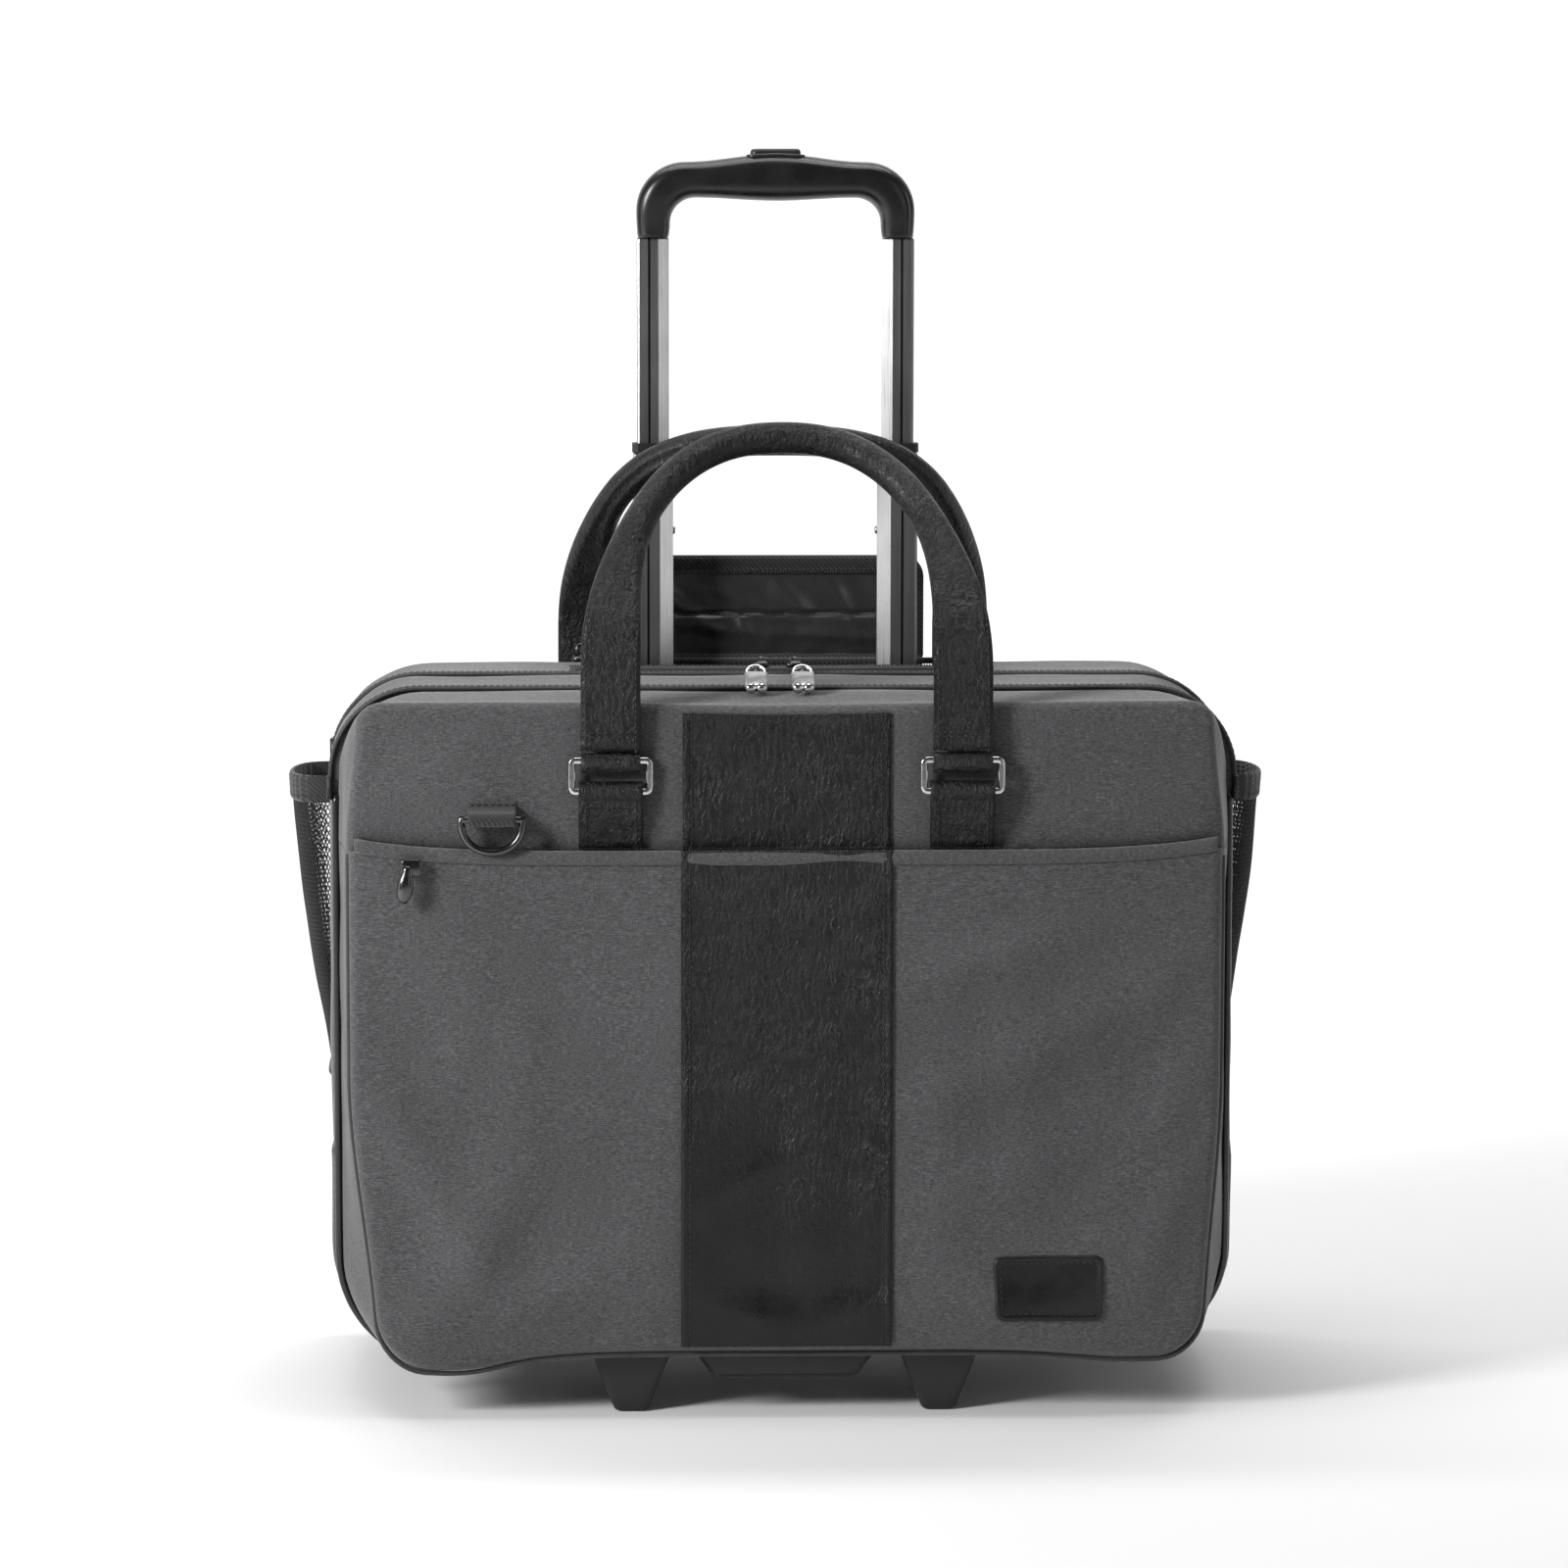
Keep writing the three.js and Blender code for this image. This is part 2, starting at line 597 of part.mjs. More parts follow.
// ---------- mesh side pockets ----------
function meshPocket(side, s) {
  const rows = [[152, 2.2], [180, 8], [220, 15], [262, 20], [304, 23.6]];
  const front = ZIP_Y + 6;
  const rear = REAR_Y - 14;
  const arcRing = (z, reach, inset) => {
    const points = [];
    const edge = BODY_HALF + GAP;
    for (let i = 0; i <= 8; i++) {
      const a = (i / 8) * Math.PI;
      const y = (front + rear) / 2 - ((rear - front) / 2 - inset) * Math.cos(a);
      const bulge = Math.sin(a) ** 0.45 * (reach - inset) + 0.2;
      points.push(new THREE.Vector3(s * (edge + bulge), y, z));
    }
    const inner = edge - (inset > 0 ? 3 : 0);
    points.push(new THREE.Vector3(s * inner, rear - inset, z));
    points.push(new THREE.Vector3(s * inner, front + inset, z));
    return s > 0 ? points : points.reverse();
  };
  const outer = loft(rows.map(([z, reach]) => arcRing(z, reach, 0)));
  const inside = loft([[156, 3], ...rows.slice(1), [310, 24]].map(([z, r]) => arcRing(z, r, 2.4)));
  add(`mesh_pocket_${side}`, outer.subtract(inside), "mesh");
}

// ---------- feet and skid ----------
function feet() {
  const at = (x, topHalf, lowHalf, low, y0, y1) => {
    const top = BASE_Z - GAP;
    const corners = [[topHalf, top], [-topHalf, top], [-lowHalf, low], [lowHalf, low]];
    const ring = (y) => corners.map(([dx, z]) => new THREE.Vector3(x + dx, y, z)).reverse();
    return loft([ring(y0), ring(y1)]);
  };
  for (const [side, s] of SIDES) {
    add(`front_foot_${side}`, at(s * 76, 20, 8, 0, FRONT_Y + 7, FRONT_Y + 37), "plastic");
  }
  add("skid_plate", at(0, 45, 35, 17, FRONT_Y + 5, ZIP_Y - 15), "plastic");
}

// ---------- zips ----------
// A thin track that follows the top outline of the bag at one depth.
function zipTrack(name, y, half, topR, down) {
  const path = [];
  const arc = (cx, from, to) => {
    for (let i = 0; i <= 5; i++) {
      const a = from + ((to - from) * i) / 5;
      path.push([cx + topR * Math.cos(a), TOP_Z - topR + topR * Math.sin(a), a]);
    }
  };
  path.push([half, down, 0]);
  arc(half - topR, 0, Math.PI / 2);
  arc(-half + topR, Math.PI / 2, Math.PI);
  path.push([-half, down, Math.PI]);
  const rings = path.map(([x, z, a]) =>
    [[0, 1], [1, 1], [1, 0], [0, 0]].map(([out, rear]) => {
      const r = GAP + out * ZIP_H;
      return new THREE.Vector3(x + r * Math.cos(a), y + rear * ZIP_W, z + r * Math.sin(a));
    })
  );
  add(name, loft(rings.map((ring) => ring.reverse())), "lining");
}

// A slider that runs along X: a body astride the track and a pull tab.
function topSlider(name, x, y, pull) {
  const base = TOP_Z + GAP + ZIP_H + GAP;
  const body = block(x - 5, x + 5, y - 4, y + 4, base, base + 3.4);
  const bridge = block(x - 3, x + 3, y - 1.5, y + 1.5, base + 3, base + 6);
  const tab = slabAcross(
    [[y - 2, base + 3.2], [y - 2, base + 5.4], [y - 2 - pull.reach, base + 5.4 - pull.drop],
      [y - 2 - pull.reach, base + 3.2 - pull.drop]],
    x - pull.half, x + pull.half
  );
  add(name, body.add(bridge).add(tab), pull.colour);
}

function sliders() {
  const lockPull = { half: 6, reach: 19, drop: 1.4, colour: "nickel" };
  topSlider("front_zip_slider_left", -14, SEAM_Y + 3.4, lockPull);
  topSlider("front_zip_slider_right", 9, SEAM_Y + 3.4, lockPull);
  const slimPull = { half: 3, reach: 15, drop: 0.8, colour: "gunmetal" };
  topSlider("laptop_zip_slider_left", -9, ZIP_Y + 3.4, slimPull);
  topSlider("laptop_zip_slider_right", 8, ZIP_Y + 3.4, slimPull);
  const cordPull = { half: 2.5, reach: 2.6, drop: 0, colour: "gunmetal" };
  topSlider("trolley_zip_slider", -100, 49, cordPull);

  const x = -181;
  const face = FRONT_Y - 10.2; // clear of the leather that it runs across
  const body = block(x - 6, x + 6, face - 3.4, face, 270, 278);
  const tab = block(x - 9, x - 1, face - 6.4, face - 3, 256, 275);
  add("pocket_zip_slider", body.add(tab), "gunmetal");
}

frontShells();
pocketPanel();
middleShell();
rearShell();
for (const [side, s] of SIDES) wheelUnit(side, s);
pullHandle();
pullGrip();
handleFlap();
carryHandle("front", FRONT_HANDLE);
carryHandle("rear", REAR_HANDLE);
dRing();
for (const [side, s] of SIDES) meshPocket(side, s);
feet();
zipTrack("front_zip_track", SEAM_Y + 1, BODY_HALF - 3, MIDDLE_RADII[0][1], FRONT_ZIP_END);
zipTrack("laptop_zip_track", ZIP_Y + 1, BODY_HALF, REAR_RADII[1], LAPTOP_ZIP_END);
sliders();

// the origin is under the middle of the case's box
const box = new THREE.Box3().setFromObject(group);
const centre = box.getCenter(new THREE.Vector3());
group.position.set(-centre.x, -centre.y, -box.min.z);
group.updateMatrixWorld(true);

export default group;
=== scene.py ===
# %% [markdown]
# # A rolling laptop case
# The case is a soft bag on a stiff frame: cloth panels sewn edge to edge with zips and piping,
# leather trim, a telescopic pull handle, two wheels at the back and two feet at the front.
# The frame is loaded first. It says where every rigid piece is and how it moves, so each
# detailed piece below is built in its place and told which body carries it.
# %% Load the frame
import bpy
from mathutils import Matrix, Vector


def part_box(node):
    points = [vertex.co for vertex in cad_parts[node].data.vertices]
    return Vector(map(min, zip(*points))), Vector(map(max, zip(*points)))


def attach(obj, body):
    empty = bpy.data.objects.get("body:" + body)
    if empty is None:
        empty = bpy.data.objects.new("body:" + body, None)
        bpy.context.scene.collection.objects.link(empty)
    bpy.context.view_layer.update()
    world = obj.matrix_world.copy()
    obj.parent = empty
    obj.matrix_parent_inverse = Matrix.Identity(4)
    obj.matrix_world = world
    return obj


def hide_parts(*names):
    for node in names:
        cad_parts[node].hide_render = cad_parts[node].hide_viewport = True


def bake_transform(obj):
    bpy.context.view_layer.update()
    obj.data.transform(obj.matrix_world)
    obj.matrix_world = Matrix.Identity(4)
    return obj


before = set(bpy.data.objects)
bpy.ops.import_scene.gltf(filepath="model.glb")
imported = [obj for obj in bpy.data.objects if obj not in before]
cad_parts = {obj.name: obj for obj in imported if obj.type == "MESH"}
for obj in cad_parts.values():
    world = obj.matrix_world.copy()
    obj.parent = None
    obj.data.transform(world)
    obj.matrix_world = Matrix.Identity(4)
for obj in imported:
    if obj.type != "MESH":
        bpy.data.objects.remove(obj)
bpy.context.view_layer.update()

import math
from contextlib import contextmanager
import bpy
import bmesh
from mathutils import Vector, noise

# %% [markdown]
# Sizes are taken from the frame, so the soft pieces always fit the rigid ones. MM turns
# millimetres into Blender's metres, which keeps the small sizes readable.
# %% Driving sizes
MM = 0.001


def low(node):
    return Vector(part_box(node)[0])


def high(node):
    return Vector(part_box(node)[1])


def middle(node):
    return (low(node) + high(node)) / 2


BASE_Z = low("rear_shell").z
TOP_Z = high("rear_shell").z
FRONT_Y = low("organiser_shell").y
SEAM_Y = low("middle_shell").y
ZIP_Y = low("rear_shell").y
REAR_Y = high("rear_shell").y
POCKET_Y = low("front_pocket_panel").y
SPLIT_Z = high("organiser_shell").z
POCKET_HALF = high("front_pocket_panel").x
SEAM_HALF = high("front_top_panel").x
BODY_HALF = high("rear_shell").x
FACE_HALF = SEAM_HALF - 10 * MM
SIDES = (("left", -1), ("right", 1))
print("bag from", round(BASE_Z, 4), "to", round(TOP_Z, 4), "half width", round(BODY_HALF, 4))

# %% [markdown]
# ## Helpers that make meshes
# Nearly every soft piece is a loft: rings of points joined by quads. One helper makes the
# mesh, smooths it, gives it a finish and fixes it to the body that carries it.
# %% Mesh helpers
collection = bpy.context.scene.collection


def mesh_object(name, verts, faces, materials, smooth=True):
    mesh = bpy.data.meshes.new(name)
    mesh.from_pydata([tuple(v) for v in verts], [], faces)
    mesh.validate()
    for material in materials:
        mesh.materials.append(material)
    for polygon in mesh.polygons:
        polygon.use_smooth = smooth
    obj = bpy.data.objects.new(name, mesh)
    collection.objects.link(obj)
    return obj


@contextmanager
def edited(obj):
    """The piece's mesh, open for editing."""
    bm = bmesh.new()
    bm.from_mesh(obj.data)
    yield bm
    bm.to_mesh(obj.data)
    bm.free()


def outward(obj):
    """Merge doubles and point every face of a closed or nearly closed shape outwards."""
    with edited(obj) as bm:
        bmesh.ops.remove_doubles(bm, verts=bm.verts, dist=1e-6)
        bmesh.ops.recalc_face_normals(bm, faces=bm.faces)
    return obj


def carry(obj, body, slot, *nodes):
    """Fix a finished piece to its body and hide the solids it stands for."""
    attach(obj, body)
    if nodes:
        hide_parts(*nodes)
    return obj


def grid_faces(nx, nz, start=0):
    """Quads of a grid of nx by nz cells whose points are stored row by row."""
    row = nx + 1
    corners = (start + j * row + i for j in range(nz) for i in range(nx))
    return [(a, a + 1, a + row + 1, a + row) for a in corners]


def squarer(value, power):
    """A sine or cosine bent towards its limits, which squares off a circle."""
    return math.copysign(abs(value) ** power, value)


def loft_faces(rings, count, closed_run=False, start=0):
    """Quads between rings of the same number of points."""
    faces = []
    spans = rings if closed_run else rings - 1
    for i in range(spans):
        a = start + i * count
        b = start + ((i + 1) % rings) * count
        for k in range(count):
            m = (k + 1) % count
            faces.append((a + k, a + m, b + m, b + k))
    return faces


def loft(name, rings, materials, closed_run=False, smooth=True):
    count = len(rings[0])
    verts = [v for ring in rings for v in ring]
    faces = loft_faces(len(rings), count, closed_run)
    if not closed_run:
        faces.append(tuple(reversed(range(count))))
        faces.append(tuple(range(len(verts) - count, len(verts))))
    return outward(mesh_object(name, verts, faces, materials, smooth))


def sweep(name, path, radius, materials, sides=12, closed=False, flat=1.0):
    """A round or oval bar along a list of points, kept from twisting as it turns."""
    points = [Vector(p) for p in path]
    n = len(points)
    rings = []
    side = None
    for i, p in enumerate(points):
        a = points[(i - 1) % n] if closed or i else points[0]
        b = points[(i + 1) % n] if closed or i < n - 1 else points[-1]
        along = (b - a).normalized()
        if side is None:
            pick = Vector((0, 1, 0)) if abs(along.y) < 0.9 else Vector((1, 0, 0))
            side = along.cross(pick).normalized()
        side = (side - along * side.dot(along)).normalized()
        other = along.cross(side)
        r = radius(i / (n - 1)) if callable(radius) else radius
        rings.append([
            p + side * (r * math.cos(t)) + other * (r * flat * math.sin(t))
            for t in (2 * math.pi * k / sides for k in range(sides))
        ])
    return loft(name, rings, materials, closed_run=closed)


def rounded(half, z0, z1, r_low, r_high, count):
    """count points spread evenly round a rectangle with rounded corners, as (x, z) pairs."""
    corners = [(half - r_high, z1 - r_high, r_high, 0), (-half + r_high, z1 - r_high, r_high, 1),
               (-half + r_low, z0 + r_low, r_low, 2), (half - r_low, z0 + r_low, r_low, 3)]
    path = []
    for cx, cz, r, quarter in corners:
        for i in range(13):
            t = (quarter + i / 12) * math.pi / 2
            path.append((cx + r * math.cos(t), cz + r * math.sin(t)))
    path.append(path[0])
    lengths = [0.0]
    for a, b in zip(path, path[1:]):
        lengths.append(lengths[-1] + math.dist(a, b))
    out = []
    j = 0
    for i in range(count):
        want = lengths[-1] * i / count
        while lengths[j + 1] < want:
            j += 1
        f = (want - lengths[j]) / max(lengths[j + 1] - lengths[j], 1e-9)
        a, b = path[j], path[j + 1]
        out.append((a[0] + (b[0] - a[0]) * f, a[1] + (b[1] - a[1]) * f))
    return out


def add_modifier(obj, kind, **settings):
    modifier = obj.modifiers.new(kind.lower(), kind)
    for key, value in settings.items():
        setattr(modifier, key, value)
    return modifier


def baked(obj):
    """The piece with its modifiers applied, as a plain mesh."""
    graph = bpy.context.evaluated_depsgraph_get()
    mesh = bpy.data.meshes.new_from_object(obj.evaluated_get(graph))
    obj.modifiers.clear()
    obj.data = mesh
    return obj


# %% [markdown]
# ## Finishes
# Each finish is a small node tree. Colour comes from a pattern at the real scale of the
# threads or grain, and the same pattern, or a finer one, drives the bump. Patterns read the
# Object coordinates, which are metres here, so a scale of 1000 means one cell a millimetre.
# %% Material helper
class Finish:
    """A Principled material with short ways to add noise, bump and colour ramps."""

    def __init__(self, name, colour, roughness, metallic=0.0, **sockets):
        self.material = bpy.data.materials.new(name)
        self.material.use_nodes = True
        self.tree = self.material.node_tree
        self.shader = self.tree.nodes["Principled BSDF"]
        self.shader.inputs["Base Color"].default_value = (*colour, 1)
        self.shader.inputs["Roughness"].default_value = roughness
        self.shader.inputs["Metallic"].default_value = metallic
        for key, value in sockets.items():
            self.shader.inputs[key.replace("_", " ")].default_value = value
        self.place = self.tree.nodes.new("ShaderNodeTexCoord").outputs["Object"]

    def node(self, kind, inputs=None, **settings):
        """A node whose inputs are values or other nodes' sockets."""
        node = self.tree.nodes.new(kind)
        for key, value in settings.items():
            setattr(node, key, value)
        for key, value in (inputs or {}).items():
            if hasattr(value, "links"):
                self.tree.links.new(value, node.inputs[key])
            else:
                node.inputs[key].default_value = value
        return node

    def scaled(self, scale, at=None, lean=0.0):
        """Coordinates stretched by a scale and leaning by an angle in the XZ plane."""
        inputs = {"Vector": at or self.place, "Scale": scale,
                  "Rotation": (0, math.radians(lean), 0)}
        return self.node("ShaderNodeMapping", inputs).outputs[0]

    def noise(self, scale, detail=3.0, at=None, roughness=0.5):
        inputs = {"Vector": at or self.place, "Scale": scale, "Detail": detail,
                  "Roughness": roughness}
        return self.node("ShaderNodeTexNoise", inputs).outputs["Fac"]

    def cells(self, scale, at=None):
        inputs = {"Vector": at or self.place, "Scale": scale}
        return self.node("ShaderNodeTexVoronoi", inputs).outputs["Distance"]

    def wave(self, scale, direction, distort=0.0):
        inputs = {"Vector": self.place, "Scale": scale, "Distortion": distort}
        node = self.node("ShaderNodeTexWave", inputs, bands_direction=direction)
        return node.outputs["Fac"]

    def math(self, operation, a, b):
        return self.node("ShaderNodeMath", {0: a, 1: b}, operation=operation).outputs[0]

    def ramp(self, fac, *stops):
        """stops are (position, value or colour)."""
        node = self.node("ShaderNodeValToRGB", {"Fac": fac})
        elements = node.color_ramp.elements
        while len(elements) < len(stops):
            elements.new(0.5)
        for element, (position, value) in zip(elements, stops):
            element.position = position
            rgb = value if isinstance(value, tuple) else (value, value, value)
            element.color = (*rgb, 1)
        return node.outputs["Color"]

    def mix(self, fac, a, b, blend="MIX"):
        inputs = {0: fac, 6: a, 7: b}
        node = self.node("ShaderNodeMix", inputs, data_type="RGBA", blend_type=blend)
        return node.outputs[2]

    def bump(self, *layers):
        """layers are (height, strength, distance in metres), the last one the finest."""
        normal = None
        for height, strength, distance in layers:
            inputs = {"Height": height, "Strength": strength, "Distance": distance}
            if normal:
                inputs["Normal"] = normal
            normal = self.node("ShaderNodeBump", inputs).outputs["Normal"]
        self.tree.links.new(normal, self.shader.inputs["Normal"])

    def colour(self, socket):
        self.tree.links.new(socket, self.shader.inputs["Base Color"])

    def rough(self, socket):
        self.tree.links.new(socket, self.shader.inputs["Roughness"])


# %% [markdown]
# The bag's cloth is a melange: charcoal and lighter grey fibres spun together, so the
# colour breaks into short flecks that run along the weave, mostly sideways. Two stretched
# noises make the flecks of the weft and the warp, and two waves make the plain weave.
# %% Melange cloth
def melange_cloth():
    f = Finish("melange_cloth", (0.06, 0.06, 0.063), 0.92, Sheen_Weight=0.25,
               Sheen_Roughness=0.5, Specular_IOR_Level=0.25)
    weft = f.noise(1.0, 4.0, f.scaled((420, 420, 2200)), 0.65)
    warp = f.noise(1.0, 3.0, f.scaled((2200, 2200, 420)), 0.6)
    broad = f.noise(9.0, 2.0)
    dark, mid, light = (0.036, 0.036, 0.038), (0.078, 0.078, 0.081), (0.150, 0.150, 0.154)
    flecks = f.ramp(weft, (0.30, dark), (0.52, mid), (0.74, light))
    cross = f.ramp(warp, (0.30, 0.55), (0.75, 1.25))
    both = f.mix(0.75, flecks, cross, "MULTIPLY")
    worn = f.ramp(broad, (0.25, 0.86), (0.75, 1.12))
    f.colour(f.mix(0.8, both, worn, "MULTIPLY"))
    threads = f.math("MULTIPLY", f.wave(430, "Z", distort=0.6), f.wave(430, "X", distort=0.6))
    f.bump((f.noise(60.0, 3.0), 0.25, 0.6 * MM), (weft, 0.35, 0.25 * MM),
           (threads, 0.35, 0.2 * MM))
    return f.material


# %% [markdown]
# Grained leather has three scales: pebbles under a millimetre, which are Voronoi cells, fine
# creases that lean one way where the hide was stretched, and finer ones across them. Both
# sets are stretched noise whose coordinates are bent by more noise. They fade out low down,
# where the hide was pressed smooth. The trim leather keeps only a faint grain.
# %% Leathers
def leather(name, tone, roughness, grain, crease):
    f = Finish(name, (tone,) * 3, roughness, Specular_IOR_Level=0.34)
    drift = f.node("ShaderNodeTexNoise", {"Vector": f.place, "Scale": 60.0, "Detail": 4.0})
    shift = f.node("ShaderNodeVectorMath", {0: drift.outputs["Color"], "Scale": 0.012},
                   operation="SCALE")
    moved = f.node("ShaderNodeVectorMath", {0: f.place, 1: shift.outputs[0]}, operation="ADD")
    leaning = f.scaled((460, 460, 130), moved.outputs[0], 24)
    crossing = f.scaled((300, 300, 700), moved.outputs[0], -8)
    pebbles = f.cells(1100.0, moved.outputs[0])
    along = f.ramp(f.noise(1.0, 4.0, leaning, 0.6), (0.4, 0.0), (0.6, 1.0))
    across = f.ramp(f.noise(1.0, 3.0, crossing, 0.6), (0.4, 0.0), (0.6, 1.0))
    height = f.node("ShaderNodeSeparateXYZ", {"Vector": f.place}).outputs["Z"]
    above = f.ramp(height, (0.09, 0.12), (0.17, 1.0))
    patchy = f.ramp(f.noise(9.0, 2.0), (0.38, 0.25), (0.6, 1.0))
    where = f.mix(1.0, patchy, above, "MULTIPLY")
    plain = (0.7, 0.7, 0.7, 1)
    f.bump((f.noise(30.0, 4.0), 0.5, 1.0 * MM), (f.mix(where, plain, along), crease, 1.0 * MM),
           (f.mix(where, plain, across), crease * 0.6, 0.5 * MM), (pebbles, grain, 0.16 * MM))
    f.rough(f.ramp(f.noise(70.0, 4.0), (0.3, roughness - 0.07), (0.7, roughness + 0.12)))
    f.colour(f.ramp(f.noise(24.0, 3.0), (0.3, tone * 0.8), (0.7, tone * 1.35)))
    return f.material


# %% [markdown]
# The remaining finishes: nylon lining, webbing, net, moulded plastics, brushed aluminium,
# bright nickel, dark plate, wheel rubber and the zips' coil.
# %% Other finishes
def nylon(name, tone, roughness):
    f = Finish(name, (tone,) * 3, roughness, Sheen_Weight=0.2, Specular_IOR_Level=0.8)
    weave = f.math("MULTIPLY", f.wave(700, "Z"), f.wave(700, "X"))
    f.bump((f.noise(40.0, 3.0), 0.3, 1.0 * MM), (weave, 0.2, 0.1 * MM))
    f.rough(f.ramp(f.noise(90.0, 2.0), (0.3, roughness - 0.06), (0.7, roughness + 0.1)))
    return f.material


def webbing():
    f = Finish("black_webbing", (0.012,) * 3, 0.8, Sheen_Weight=0.3)
    ribs = f.wave(260, "DIAGONAL", distort=0.3)
    f.colour(f.ramp(ribs, (0.2, 0.006), (0.8, 0.022)))
    f.bump((ribs, 0.8, 0.3 * MM), (f.noise(900.0, 2.0), 0.3, 0.1 * MM))
    return f.material


def plastic(name, tone, roughness, grain):
    f = Finish(name, (tone,) * 3, roughness, Specular_IOR_Level=0.5)
    f.bump((f.noise(1600.0, 2.0), grain, 0.06 * MM))
    f.rough(f.ramp(f.noise(60.0, 4.0), (0.3, roughness - 0.05), (0.7, roughness + 0.1)))
    f.colour(f.ramp(f.noise(30.0, 3.0), (0.3, tone * 0.85), (0.7, tone * 1.25)))
    return f.material


def metal(name, tone, roughness, brush, stretch):
    f = Finish(name, (tone, tone, tone * 1.01), roughness, 1.0)
    streaks = f.noise(1.0, 3.0, f.scaled(stretch), 0.6)
    f.bump((streaks, brush, 0.05 * MM))
    f.rough(f.ramp(streaks, (0.3, max(roughness - 0.06, 0.03)), (0.7, roughness + 0.08)))
    f.colour(f.ramp(f.noise(40.0, 2.0), (0.3, tone * 0.9), (0.7, tone * 1.06)))
    return f.material


def tyre_rubber():
    f = Finish("wheel_rubber", (0.02,) * 3, 0.75)
    dust = f.noise(120.0, 5.0)
    f.colour(f.ramp(dust, (0.4, 0.014), (0.75, 0.05)))
    f.bump((f.noise(900.0, 3.0), 0.4, 0.12 * MM))
    return f.material


CLOTH = melange_cloth()
GRAINED = leather("grained_leather", 0.006, 0.33, 0.5, 1.0)
TRIM = leather("trim_leather", 0.008, 0.36, 0.22, 0.15)
LINING = nylon("black_lining", 0.018, 0.25)
TAPE = nylon("zip_tape", 0.009, 0.7)
PADDING = nylon("padded_lining", 0.02, 0.75)
WEBBING = webbing()
THREAD = plastic("sewing_thread", 0.020, 0.6, 0.2)
COIL = plastic("zip_coil", 0.013, 0.32, 0.0)
PIPING = plastic("glossy_piping", 0.008, 0.22, 0.05)
GRIP = plastic("satin_grip", 0.007, 0.28, 0.12)
MOULDED = plastic("moulded_plastic", 0.008, 0.45, 0.5)
NET = plastic("net_yarn", 0.012, 0.7, 0.3)
TUBE = metal("brushed_tube", 0.42, 0.30, 0.35, (2600, 2600, 18))
# A darker copy of the tube's aluminium for its flat front faces: painted shade, so the chamfer reads
# lighter.
TUBE_FRONT_SHADE = metal("tube_front_painted_shade", 0.30, 0.34, 0.3, (2600, 2600, 18))
# Nearly black aluminium for the tube's groove: painted shade in the recess.
TUBE_GROOVE_SHADE = metal("tube_groove_painted_shade", 0.035, 0.42, 0.2, (2600, 2600, 18))
NICKEL = metal("polished_nickel", 0.62, 0.13, 0.05, (600, 600, 600))
BRUSHED = metal("brushed_nickel", 0.45, 0.30, 0.4, (60, 2500, 2500))
GUNMETAL = metal("dark_plate", 0.10, 0.22, 0.08, (500, 500, 500))
STEEL = metal("plain_steel", 0.40, 0.3, 0.2, (60, 2000, 2000))
RUBBER = tyre_rubber()
print(len(bpy.data.materials), "materials")

# %% [markdown]
# ## Things that repeat
# Stitches and zip teeth are one small shape set out at an even pitch along a line. Placing
# them by hand would take thousands of objects. This node tree does it instead: it resamples
# a line, sets a stretched ball at every point, turns it along the line and across it, makes
# the copies real and gives them their finish. The line is a chain of vertices that also
# carries which way "across" is, as a vertex attribute.
# %% The repeating node tree
def new_tree(name, **inputs):
    """A node tree from geometry to geometry, with named inputs of the given kinds."""
    tree = bpy.data.node_groups.new(name, "GeometryNodeTree")
    for label, kind in {"Geometry": "Geometry", **inputs}.items():
        tree.interface.new_socket(label, in_out="INPUT", socket_type=f"NodeSocket{kind}")
    tree.interface.new_socket("Geometry", in_out="OUTPUT", socket_type="NodeSocketGeometry")
    return tree


def wire(tree, *wires):
    """Each wire is (node, its output, next node, its input)."""
    for source, output, target, entry in wires:
        tree.links.new(source.outputs[output], target.inputs[entry])


def grow(obj, tree, **values):
    """Run a tree on an object, with its inputs set by name, and keep the mesh it makes."""
    sockets = {item.name: item.identifier for item in tree.interface.items_tree
               if item.in_out == "INPUT"}
    modifier = obj.modifiers.new(tree.name, "NODES")
    modifier.node_group = tree
    for label, value in values.items():
        modifier[sockets[label]] = value
    baked(obj)
    print(obj.name, len(obj.data.polygons), "faces")
    return obj


def chains(name, lines):
    """Each line of points as a chain of edges."""
    verts, edges = [], []
    for line in lines:
        start = len(verts)
        verts += [tuple(p) for p in line]
        edges += [(i, i + 1) for i in range(start, len(verts) - 1)]
    mesh = bpy.data.meshes.new(name)
    mesh.from_pydata(verts, edges, [])
    obj = bpy.data.objects.new(name, mesh)
    collection.objects.link(obj)
    return obj


